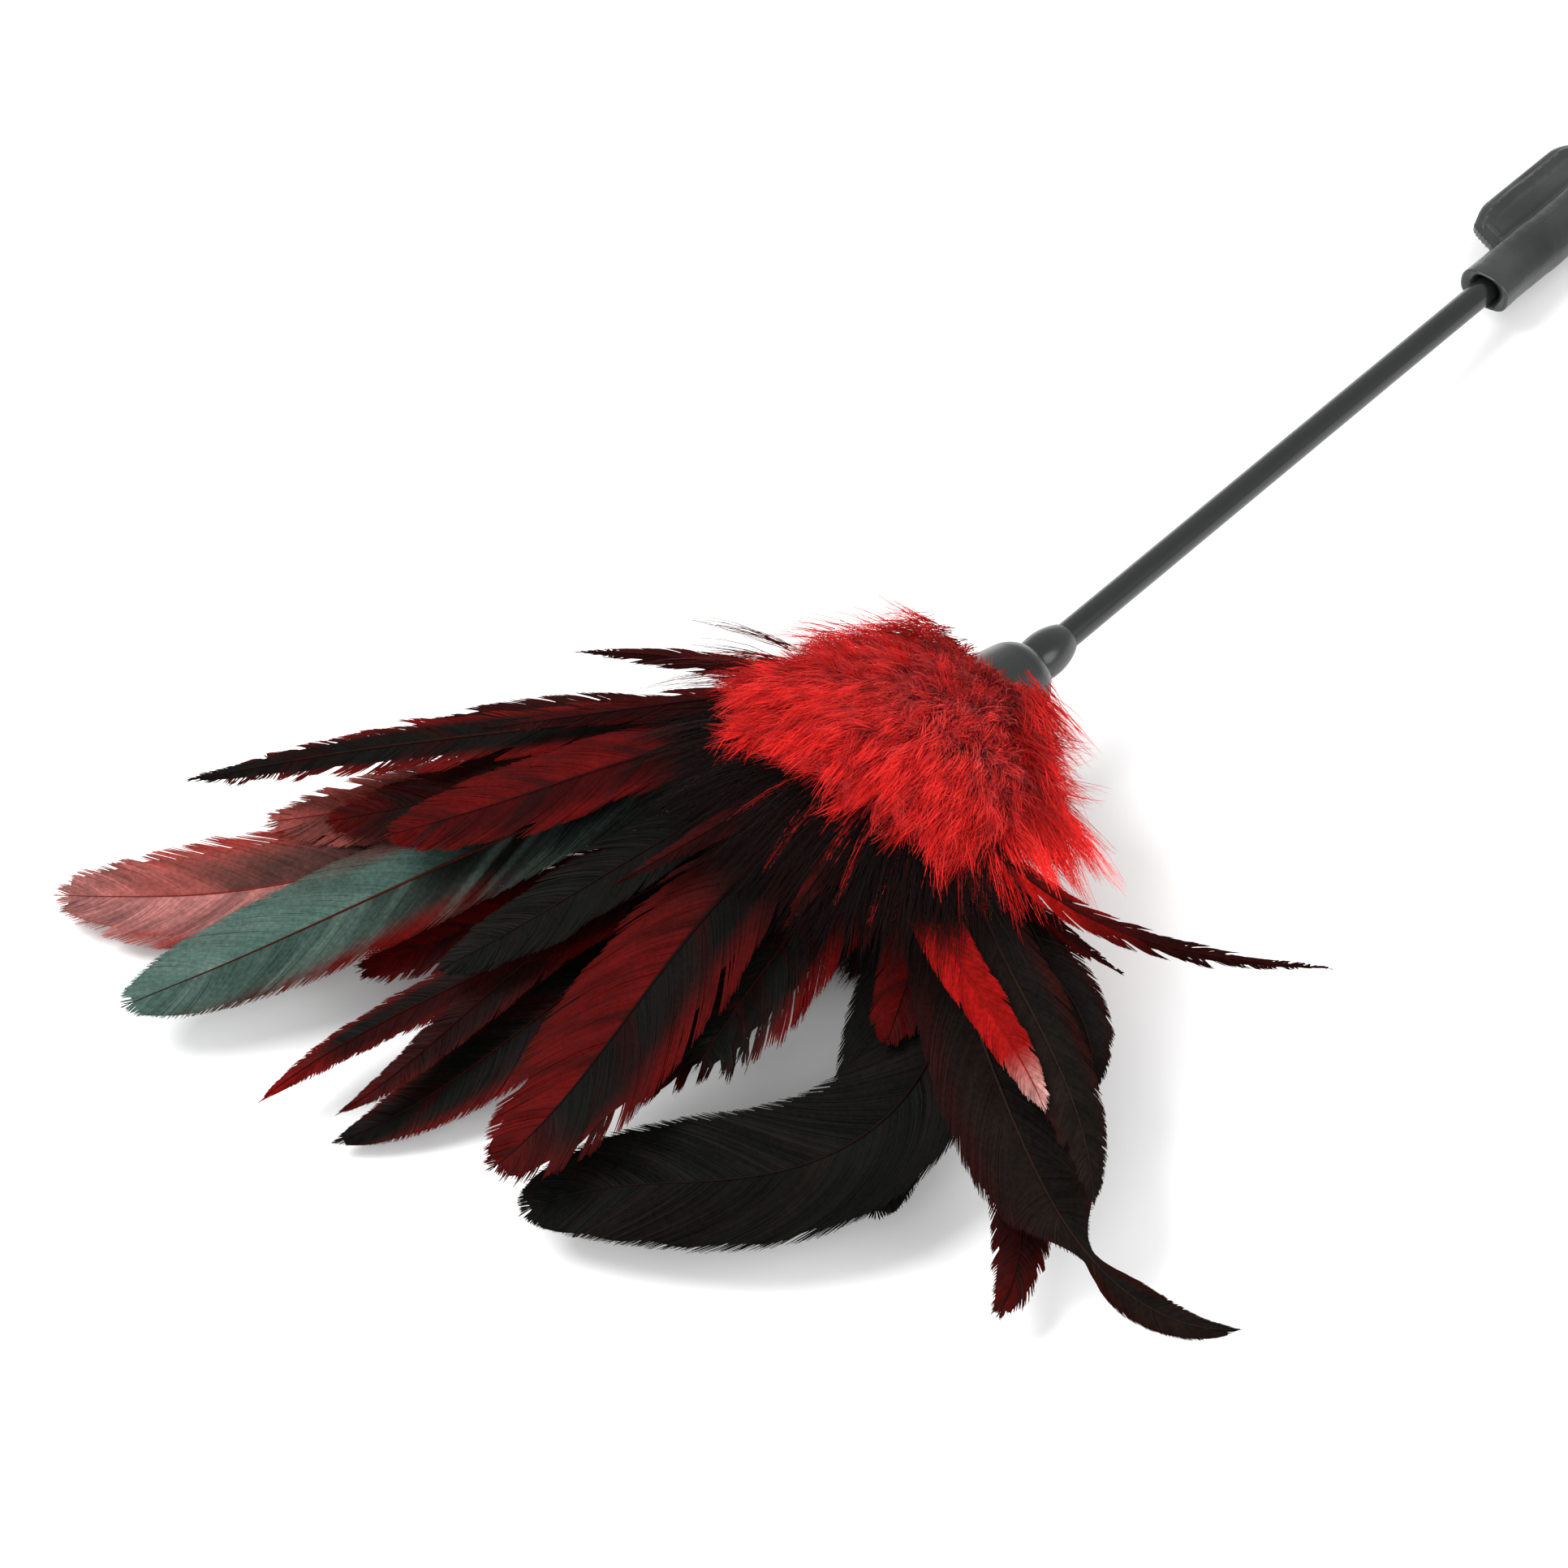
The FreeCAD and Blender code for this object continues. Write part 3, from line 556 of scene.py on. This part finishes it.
def add_tufts(shape, roots, ways, normals, lengths, strands, spread, gather, colours, random, thickness=0.11):
    """Pointed tufts: strands that start round a root, arch over and close in on the tuft's tip."""
    count = len(roots)
    side = random_vectors(random, (count, strands))
    side = unit(side - (side * normals[:, None, :]).sum(-1, keepdims=True) * normals[:, None, :])
    start = roots[:, None, :] + side * (spread * np.sqrt(random.random((count, strands, 1))))
    reach = lengths[:, None, None] * random.uniform(0.62, 1.08, (count, strands, 1))
    loose = (1.0 - gather) * spread
    end = start * (1.0 - gather) + roots[:, None, :] * gather + ways[:, None, :] * reach
    end = end + random_vectors(random, (count, strands)) * (0.5 + loose * 0.7)
    middle = (start + end) / 2 + normals[:, None, :] * reach * 0.14
    middle = middle + random_vectors(random, (count, strands)) * 0.09 * reach
    q = np.linspace(0.0, 1.0, STRAND_POINTS)[None, None, :, None]
    start, middle, end = start[:, :, None, :], middle[:, :, None, :], end[:, :, None, :]
    curve = start * (1 - q) ** 2 + middle * 2 * q * (1 - q) + end * q ** 2
    curve = curve.reshape(count * strands, STRAND_POINTS, 3)
    along = unit(np.gradient(curve, axis=1))
    facing = random_vectors(random, (count * strands,))[:, None, :] * 0.7
    facing = facing + np.repeat(normals, strands, 0)[:, None, :]
    level = unit(np.cross(along, facing))
    q = q.reshape(1, STRAND_POINTS)
    wide = thickness * (1.0 - 0.8 * q ** 1.5) * random.uniform(0.7, 1.3, (count * strands, 1))
    light = 0.42 + 0.68 * smooth(q / 0.55) - 0.12 * smooth((q - 0.8) / 0.2)
    light = light * random.uniform(0.8, 1.2, (count * strands, 1))
    tints = np.repeat(colours, strands, 0)[:, None, :] * light[..., None]
    shape.ribbons(curve, level * wide[..., None], tints)


def ruff_ways(roots, normals, lift, random):
    """Direction of the down at a place on the ruff: away from the cap, leaning out of the surface."""
    away = unit(roots - on_rod(-4.0, 0.0, 0.0))
    flat = unit(away - (away * normals).sum(-1, keepdims=True) * normals + 0.25 * away)
    ways = flat * math.cos(lift) + normals * math.sin(lift)
    ways = ways + random.normal(0.0, 0.16, roots.shape)
    return unit(ways + np.array([0.0, 0.0, -0.10]))


def pick(random, share, count):
    return random.choice(len(share), count, p=share)


def make_upper_ruff(materials):
    random = np.random.default_rng(SEED + 100)
    core, centres, share, normals = make_core("upper_ruff", "upper_ruff_heart", materials["down_red"])
    finish_ruff(core, "upper_ruff")
    for name, low, high in (("left", -3.0, 100.0), ("right", -100.0, 3.0)):
        inside = share * ((centres[:, 1] > low) & (centres[:, 1] < high)) * (normals[:, 2] > -0.6)
        shape = Shape()
        for count, strands, spread, gather, length, lift in (
                (620, 22, 2.6, 0.25, (7.0, 11.0), 0.55), (330, 22, 3.0, 0.62, (11.0, 17.0), 0.42)):
            chosen = pick(random, inside / inside.sum(), count)
            roots = centres[chosen] + random.normal(0.0, 0.7, (count, 3))
            ways = ruff_ways(roots, normals[chosen], lift, random)
            lengths = random.uniform(*length, count) * (0.55 + 0.45 * smooth((-18.0 - roots[:, 0]) / 30.0))
            colours = mix(np.broadcast_to(RUFF_BRIGHT, (count, 3)), RUFF_DEEP, random.random(count) ** 1.6)
            shade = 1.0 - 0.5 * smooth((58.0 - roots[:, 2]) / 10.0)
            add_tufts(shape, roots, ways, normals[chosen], lengths, strands, spread, gather,
                      colours * shade[:, None], random)
        piece = shape.build("upper_ruff_down_" + name, materials["down_red"])
        finish_ruff(piece, "upper_ruff")


def make_lower_ruff(materials):
    random = np.random.default_rng(SEED + 200)
    core, centres, share, normals = make_core("lower_ruff", "lower_ruff_heart", materials["down_dark"])
    finish_ruff(core, "lower_ruff")
    inside = share * (normals[:, 2] < 0.6)
    shape = Shape()
    count = 900
    chosen = pick(random, inside / inside.sum(), count)
    roots = centres[chosen]
    ways = ruff_ways(roots, normals[chosen], 0.4, random)
    red = smooth((roots[:, 2] - 8.0) / 22.0) * smooth((roots[:, 0] + 75.0) / 30.0)
    reddened = red * random.uniform(0.5, 1.0, count)
    colours = mix(np.broadcast_to(RUFF_DARK, (count, 3)), RUFF_DEEP, reddened)
    lengths = random.uniform(8.0, 14.0, count)
    add_tufts(shape, roots, ways, normals[chosen], lengths, 22, 2.8, 0.4, colours, random)
    piece = shape.build("lower_ruff_down", materials["down_dark"])
    finish_ruff(piece, "lower_ruff")


def rim_roots(polar, back, height):
    """Places on the ruff's rim in a direction from the fan's centre."""
    reach = np.minimum(RIM_AHEAD / np.maximum(np.cos(polar), 0.05), RIM_MOST) - back
    return np.stack([FAN_X - reach * np.cos(polar), reach * np.sin(polar), height + 0.0 * reach], axis=-1)


def make_skirt(materials):
    """Dark soft down and pointed red wisps that hang from the ruff's rim over the feathers."""
    random = np.random.default_rng(SEED + 300)
    top = float(layer_height(9, FAN_X - 42.0, 0.0))
    shape = Shape()
    for count, sweep, strands, spread, gather, lengths, back, palette in SKIRTS:
        polar = np.radians(random.uniform(sweep[0], sweep[1], count))
        roots = rim_roots(polar, random.uniform(0.0, back, count), top + random.uniform(1.0, 4.0, count))
        heading = polar + random.normal(0.0, 0.16, count)
        ways = np.stack([-np.cos(heading), np.sin(heading), random.uniform(-0.22, -0.1, count)], axis=-1)
        normals = np.broadcast_to(np.array([0.0, 0.0, 1.0]), roots.shape)
        colours = mix(np.broadcast_to(palette[0], (count, 3)), palette[1], random.random(count))
        add_tufts(shape, roots, unit(ways), normals, random.uniform(*lengths, count), strands, spread, gather,
                  colours, random, 0.1)
    piece = shape.build("upper_ruff_skirt", materials["down_red"])
    finish_ruff(piece, "upper_ruff")


def make_side_down(materials):
    """Down at both sides between the ruff's two halves, round the roots of the side feathers."""
    random = np.random.default_rng(SEED + 400)
    shape = Shape()
    count = 250
    for side in (1.0, -1.0):
        places = random.uniform(-52.0, -31.0, count)
        radius = (-6.8 - 0.83 * places) * random.uniform(0.5, 0.92, count)
        roots = on_rod(places, side * radius, random.uniform(-17.0, 18.0, count))
        heading = np.radians(random.normal(66.0, 15.0, count))
        ways = np.stack([-np.cos(heading), side * np.sin(heading), random.normal(-0.1, 0.25, count)], axis=-1)
        normals = np.broadcast_to(np.array([0.0, side, 0.0]), roots.shape)
        colours = mix(np.broadcast_to(RUFF_BRIGHT, (count, 3)), RUFF_DEEP, random.random(count))
        add_tufts(shape, roots, unit(ways), normals, random.uniform(10.0, 19.0, count), 18, 3.6, 0.45,
                  colours, random)
    piece = shape.build("ruff_side_down", materials["down_red"])
    finish_ruff(piece, "upper_ruff")


def finish_ruff(piece, node):
    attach(piece, "handle")
    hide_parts(node)


# ---- leather flap ----
def wing_edge(along):
    """Distance from the rod's axis to the flap's edge on its wing side."""
    near = smooth((along - WING_START + 0.8) / 5.0) ** 0.6 * (WING_REACH - 3.5 - SLEEVE_HALF_WIDTH)
    near = near + smooth((along - WING_START) / 14.0) * 3.5
    end = WING_START + WING_LENGTH
    far = np.sqrt(np.clip(1.0 - (np.clip(along - end + 12.0, 0.0, 12.0) / 12.0) ** 2, 0.0, 1.0))
    return SLEEVE_HALF_WIDTH + near * far


def flap_half_height(along, side, from_edge):
    """Half thickness of the folded leather over a point beside the rod."""
    width, height = SLEEVE_HALF_WIDTH, SLEEVE_HALF_HEIGHT
    pressed = 1.0 - 0.55 * smooth((along - SLEEVE_END + 12.0) / 12.0)
    tunnel = height * pressed * np.clip(1.0 - np.abs(side / width) ** 2.5, 0.0, 1.0) ** (1 / 2.5)
    rim = np.clip(from_edge / WING_HALF, 0.0, 1.0)
    plate = WING_HALF * np.sqrt(np.clip(1.0 - (1.0 - rim) ** 2, 0.0, 1.0)) * (side > 2.0)
    total = (tunnel ** 3 + plate ** 3) ** (1 / 3)
    on_wing = smooth((side - width - 0.4) / 1.2)
    band = np.exp(-((from_edge - SEAM_INSET) / 0.9) ** 2) - 0.7 * np.exp(-((from_edge - 4.8) / 0.8) ** 2)
    hollow = np.exp(-((side - width - 1.0) / 0.8) ** 2)
    return total + on_wing * 0.5 * band - 0.35 * hollow * (plate > 0.5)


def make_flap(materials):
    """One folded piece of leather: a sleeve round the rod's end and the wing beside it."""
    steps, columns = 250, 110
    along = np.linspace(SLEEVE_START, SLEEVE_END, steps)[:, None]
    edge = wing_edge(along)
    w = (1.0 - np.cos(np.linspace(0.0, math.pi, columns)))[None, :] / 2.0
    w = 0.55 * w + 0.45 * np.linspace(0.0, 1.0, columns)[None, :]
    side = -SLEEVE_HALF_WIDTH + w * (SLEEVE_HALF_WIDTH + edge)
    outline = np.stack([along[:, 0], edge[:, 0]], axis=-1)
    flat = np.stack([np.broadcast_to(along, side.shape), side], axis=-1)
    from_edge = np.full(side.shape, 99.0)
    for point in outline[::2]:
        from_edge = np.minimum(from_edge, np.hypot(flat[..., 0] - point[0], flat[..., 1] - point[1]))
    from_edge = np.minimum(from_edge, SLEEVE_END - flat[..., 0])
    half = np.maximum(flap_half_height(along, side, from_edge), 0.05)
    half = half * np.sqrt(np.clip(1.0 - np.clip(1.0 - (SLEEVE_END - along) / 1.6, 0.0, 1.0) ** 2, 0.02, 1.0))
    wave = 0.16 * np.sin(along * 0.21 + side * 0.3) + 0.1 * np.sin(along * 0.53 - side * 0.7 + 1.0)
    near_bend = np.exp(-((np.abs(side) - 5.0) / 2.0) ** 2)
    crease = 0.04 * np.sin(along * 1.3 + 2.0 * np.sin(side * 0.5)) * near_bend
    soft = smooth(from_edge / 2.0)
    top = on_rod(along, side, half + (wave + crease) * soft)
    bottom = on_rod(along, side, -half + (wave - crease) * soft)
    ring = np.concatenate([top, bottom[:, ::-1]], axis=1)
    inner = []
    mouth = ring[0]
    heart = on_rod(SLEEVE_START, 0.0, 0.0)
    for depth, share in ((-0.35, 0.12), (-0.3, 0.34), (0.2, 0.62), (1.2, 0.9), (7.0, 1.0)):
        spoke = mouth - heart
        radius = np.linalg.norm(spoke, axis=-1, keepdims=True)
        bore = spoke / radius * (ROD_DIAMETER / 2 + 0.15)
        shifted = on_rod(depth, 0.0, 0.0) - on_rod(0.0, 0.0, 0.0)
        inner.append(heart + spoke * (1.0 - share) + bore * share + shifted)
    rings = np.concatenate([np.array(inner[::-1]), ring], axis=0)
    rows, count = rings.shape[:2]
    row, column = np.meshgrid(np.arange(rows - 1), np.arange(count), indexing="ij")
    beside = (column + 1) % count
    quads = np.stack([row * count + column, (row + 1) * count + column,
                      (row + 1) * count + beside, row * count + beside], axis=-1)
    last = (rows - 1) * count + np.arange(columns - 1)
    mirrored = (rows - 1) * count + count - 1 - np.arange(columns - 1)
    closing = np.stack([last, mirrored, mirrored - 1, last + 1], axis=-1)
    shape = Shape()
    shape.add(rings, np.concatenate([quads.reshape(-1, 4), closing]), NO_TINT)
    piece = shape.build("flap_leather", materials["leather_black"])
    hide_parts("flap_sleeve", "flap_wing")
    start = to_row(on_rod(230.0, SLEEVE_HALF_WIDTH + 0.1, 0.0))
    end = to_row(on_rod(230.0, SLEEVE_HALF_WIDTH + 3.2, 0.0))
    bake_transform(piece)


def make_stitches(materials):
    """Short runs of thread on both faces of the wing, each end drawn down into the leather."""
    along = np.linspace(WING_START + 2.6, WING_START + WING_LENGTH - 2.6, 400)
    inset = np.stack([along, wing_edge(along) - SEAM_INSET], axis=-1)
    inset = inset[inset[:, 1] > SLEEVE_HALF_WIDTH + 3.3]
    travelled = np.concatenate([[0.0], np.cumsum(np.linalg.norm(np.diff(inset, axis=0), axis=1))])
    shape = Shape()
    q = np.linspace(-1.0, 1.0, 9)
    for middle in np.arange(2.0, travelled[-1] - 1.5, 4.0):
        place = middle + 1.35 * q
        s = np.interp(place, travelled, inset[:, 0])
        y = np.interp(place, travelled, inset[:, 1])
        for face in (1.0, -1.0):
            height = face * (WING_HALF + 0.34 - 0.45 * q ** 4)
            points = on_rod(s, y, height)
            tints = np.broadcast_to(NO_TINT, points.shape)
            shape.tube(points, 0.27 * (1.0 - 0.3 * q ** 4), tints, 8)
    piece = shape.build("flap_seam_thread", materials["seam_thread"])
    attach(piece, "flap")
    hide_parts("flap_stitches")


# ---- materials ----
Finish = namedtuple("Finish", "colour dark grain rough_low rough_high bump sheen coat")
FINISHES = {
    "rod_black": Finish(srgb(20, 23, 22), srgb(12, 15, 14), 700.0, 0.18, 0.3, 0.02, 0.0, 0.0),
    "cap_black": Finish(srgb(22, 25, 24), srgb(14, 16, 15), 600.0, 0.22, 0.34, 0.03, 0.0, 0.1),
    "glue": Finish(srgb(196, 168, 110), srgb(150, 120, 70), 300.0, 0.35, 0.55, 0.2, 0.0, 0.0),
    "binding_thread": Finish(srgb(84, 14, 14), srgb(46, 8, 8), 900.0, 0.7, 0.9, 0.4, 0.2, 0.0),
    "seam_thread": Finish(srgb(52, 53, 52), srgb(30, 30, 30), 1500.0, 0.6, 0.85, 0.4, 0.2, 0.0),
    "leather_black": Finish(srgb(46, 50, 48), srgb(18, 20, 19), 900.0, 0.2, 0.38, 0.22, 0.0, 0.0),
}
# lowest and highest roughness, sheen
HAIR = {
    "down_red": (0.62, 0.8, 0.12), "down_dark": (0.65, 0.85, 0.0), "feather_black": (0.36, 0.52, 0.0),
    "feather_green": (0.34, 0.5, 0.0), "feather_red": (0.42, 0.6, 0.0), "feather_pink": (0.42, 0.6, 0.05),
    "hackle_red": (0.4, 0.55, 0.0),
}


def new_material(name):
    material = bpy.data.materials.new(name)
    material.use_nodes = True
    nodes, links = material.node_tree.nodes, material.node_tree.links
    shader = nodes["Principled BSDF"]
    coordinates = nodes.new("ShaderNodeTexCoord")
    return material, nodes, links, shader, coordinates


def add_noise(nodes, links, coordinates, scale, detail=4.0):
    noise = nodes.new("ShaderNodeTexNoise")
    noise.inputs["Scale"].default_value = scale
    noise.inputs["Detail"].default_value = detail
    links.new(coordinates.outputs["Object"], noise.inputs["Vector"])
    return noise


def add_range(nodes, links, source, low, high):
    change = nodes.new("ShaderNodeMapRange")
    change.inputs["From Min"].default_value = 0.3
    change.inputs["From Max"].default_value = 0.7
    change.inputs["To Min"].default_value = low
    change.inputs["To Max"].default_value = high
    links.new(source, change.inputs["Value"])
    return change.outputs["Result"]


def add_mix(nodes, links, factor, first, second, kind="MIX"):
    blend = nodes.new("ShaderNodeMix")
    blend.data_type = "RGBA"
    blend.blend_type = kind
    for socket, value in ((blend.inputs[6], first), (blend.inputs[7], second)):
        if isinstance(value, bpy.types.NodeSocket):
            links.new(value, socket)
        else:
            socket.default_value = (*[float(channel) for channel in value], 1.0)
    if isinstance(factor, bpy.types.NodeSocket):
        links.new(factor, blend.inputs[0])
    else:
        blend.inputs[0].default_value = factor
    return blend.outputs[2]


def add_bump(nodes, links, shader, height, strength, distance):
    bump = nodes.new("ShaderNodeBump")
    bump.inputs["Strength"].default_value = strength
    bump.inputs["Distance"].default_value = distance
    links.new(height, bump.inputs["Height"])
    links.new(bump.outputs["Normal"], shader.inputs["Normal"])


def hair_material(name):
    """Barbs and down: the piece's vertex colours with a fine mottle, a fibre bump and, on some, a soft sheen."""
    rough_low, rough_high, sheen = HAIR[name]
    material, nodes, links, shader, coordinates = new_material(name)
    tint = nodes.new("ShaderNodeAttribute")
    tint.attribute_name = "Tint"
    fine = add_noise(nodes, links, coordinates, 900.0)
    broad = add_noise(nodes, links, coordinates, 120.0, 2.0)
    fine_light = add_range(nodes, links, fine.outputs[0], 0.72, 1.18)
    broad_light = add_range(nodes, links, broad.outputs[0], 0.86, 1.12)
    first = add_mix(nodes, links, 1.0, tint.outputs["Color"], fine_light, "MULTIPLY")
    second = add_mix(nodes, links, 1.0, first, broad_light, "MULTIPLY")
    links.new(second, shader.inputs["Base Color"])
    links.new(add_range(nodes, links, fine.outputs[0], rough_low, rough_high), shader.inputs["Roughness"])
    shader.inputs["Specular IOR Level"].default_value = 0.03
    shader.inputs["Sheen Weight"].default_value = sheen
    shader.inputs["Sheen Roughness"].default_value = 0.4
    add_bump(nodes, links, shader, fine.outputs[0], 0.25, 0.0002)
    return material


def hard_material(name):
    """Plastic, leather, glue or thread: two close colours, uneven gloss and a grain of its own."""
    finish = FINISHES[name]
    material, nodes, links, shader, coordinates = new_material(name)
    grain = add_noise(nodes, links, coordinates, finish.grain, 6.0)
    broad = add_noise(nodes, links, coordinates, 45.0, 3.0)
    blotches = add_range(nodes, links, broad.outputs[0], 0.0, 1.0)
    colour = add_mix(nodes, links, blotches, finish.colour, finish.dark)
    links.new(colour, shader.inputs["Base Color"])
    roughness = add_range(nodes, links, broad.outputs[0], finish.rough_low, finish.rough_high)
    links.new(roughness, shader.inputs["Roughness"])
    shader.inputs["Sheen Weight"].default_value = finish.sheen
    shader.inputs["Coat Weight"].default_value = finish.coat
    shader.inputs["Coat Roughness"].default_value = 0.3
    height = grain.outputs[0]
    if name == "leather_black":
        pebble = nodes.new("ShaderNodeTexVoronoi")
        pebble.inputs["Scale"].default_value = 1300.0
        links.new(coordinates.outputs["Object"], pebble.inputs["Vector"])
        height = add_mix(nodes, links, 0.5, grain.outputs[0], pebble.outputs["Distance"])
    if "thread" in name:
        twist = nodes.new("ShaderNodeTexWave")
        twist.inputs["Scale"].default_value = 900.0
        twist.inputs["Distortion"].default_value = 2.0
        links.new(coordinates.outputs["Object"], twist.inputs["Vector"])
        height = add_mix(nodes, links, 0.6, grain.outputs[0], twist.outputs["Color"])
    add_bump(nodes, links, shader, height, finish.bump, 0.0003)
    return material


def make_materials():
    materials = {name: hair_material(name) for name in HAIR}
    materials.update({name: hard_material(name) for name in FINISHES})
    return materials


def dress_cad_nodes(materials):
    """Gives the CAD nodes that stay in view their procedural materials."""
    for name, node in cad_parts.items():
        for index in range(len(node.data.materials)):
            node.data.materials[index] = materials[SLOTS[name]]


# ---- stage, light and camera ----
def make_floor():
    mesh = bpy.data.meshes.new("floor")
    mesh.from_pydata([(-6, -6, 0), (6, -6, 0), (6, 6, 0), (-6, 6, 0)], [], [(0, 1, 2, 3)])
    material = bpy.data.materials.new("floor_white")
    material.use_nodes = True
    shader = material.node_tree.nodes["Principled BSDF"]
    shader.inputs["Base Color"].default_value = (0.93, 0.93, 0.93, 1.0)
    shader.inputs["Roughness"].default_value = 0.9
    mesh.materials.append(material)
    floor = bpy.data.objects.new("floor", mesh)
    bpy.context.scene.collection.objects.link(floor)


def add_light(name, place, size, power, target):
    lamp = bpy.data.lights.new(name, "AREA")
    lamp.shape = "DISK"
    lamp.size = size
    lamp.energy = power
    light = bpy.data.objects.new(name, lamp)
    light.location = place
    light.rotation_euler = (Vector(target) - Vector(place)).to_track_quat("-Z", "Y").to_euler()
    bpy.context.scene.collection.objects.link(light)


def make_lights():
    target = tuple(to_row(np.array([-40.0, 0.0, 20.0])))
    add_light("key", (-0.55, 0.55, 1.15), 0.7, 14.0, target)
    add_light("fill", (0.35, -1.15, 0.8), 1.1, 9.0, target)
    add_light("front", (-1.1, -0.5, 0.9), 1.0, 7.0, target)
    world = bpy.data.worlds.new("studio")
    world.use_nodes = True
    world.node_tree.nodes["Background"].inputs["Color"].default_value = (1.0, 1.0, 1.0, 1.0)
    world.node_tree.nodes["Background"].inputs["Strength"].default_value = 0.75
    bpy.context.scene.world = world
    bpy.context.scene.view_settings.view_transform = "Standard"


def make_camera():
    """Looks down on the duster from its feathers' end; the flap's far end leaves the picture."""
    azimuth, elevation, distance = math.radians(39.5), math.radians(50.0), 1450.0
    view_width, left_shift, down_shift = 386.4, 67.8, 34.9
    right = np.array([math.sin(azimuth), -math.cos(azimuth), 0.0])
    upward = np.array([math.cos(azimuth) * math.sin(elevation), math.sin(azimuth) * math.sin(elevation),
                       math.cos(elevation)])
    forward = np.array([math.cos(azimuth) * math.cos(elevation), math.sin(azimuth) * math.cos(elevation),
                        -math.sin(elevation)])
    place = to_row(np.array([0.0, 0.0, NECK_HEIGHT]) - left_shift * right - down_shift * upward
                   - distance * forward)
    lens = bpy.data.cameras.new("camera")
    lens.sensor_width = 36.0
    lens.lens = lens.sensor_width * distance / view_width
    lens.clip_end = 20.0
    camera = bpy.data.objects.new("camera", lens)
    matrix = Matrix.Identity(4)
    for row in range(3):
        matrix[row][0], matrix[row][1], matrix[row][2] = right[row], upward[row], -forward[row]
        matrix[row][3] = place[row]
    camera.matrix_world = matrix
    bpy.context.scene.collection.objects.link(camera)
    bpy.context.scene.camera = camera


# ---- the scene ----
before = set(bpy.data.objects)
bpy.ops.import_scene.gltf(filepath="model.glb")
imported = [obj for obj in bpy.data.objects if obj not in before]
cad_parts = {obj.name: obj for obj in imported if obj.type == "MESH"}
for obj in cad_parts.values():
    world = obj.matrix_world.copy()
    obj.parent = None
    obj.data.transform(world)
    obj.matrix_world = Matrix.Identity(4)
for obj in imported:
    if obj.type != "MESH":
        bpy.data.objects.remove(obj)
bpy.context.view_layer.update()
# The neck's place in the row frame, in millimetres, from the left binding beside the fan's centre.
LOW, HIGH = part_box("left_binding")
NECK = ((LOW.x + HIGH.x) * 500.0 - FAN_X, (LOW.y + HIGH.y) * 500.0 - TUFT_OFFSET)
SLOTS = {node: node_slot for node, node_slot in (
    (name, piece.data.materials[0].name.split(".")[0]) for name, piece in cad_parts.items())}

MATERIALS = make_materials()
dress_cad_nodes(MATERIALS)
for each in FEATHERS:
    make_feather(each, MATERIALS)
make_upper_ruff(MATERIALS)
make_lower_ruff(MATERIALS)
make_skirt(MATERIALS)
make_side_down(MATERIALS)
make_flap(MATERIALS)
make_stitches(MATERIALS)
make_floor()
make_lights()
make_camera()
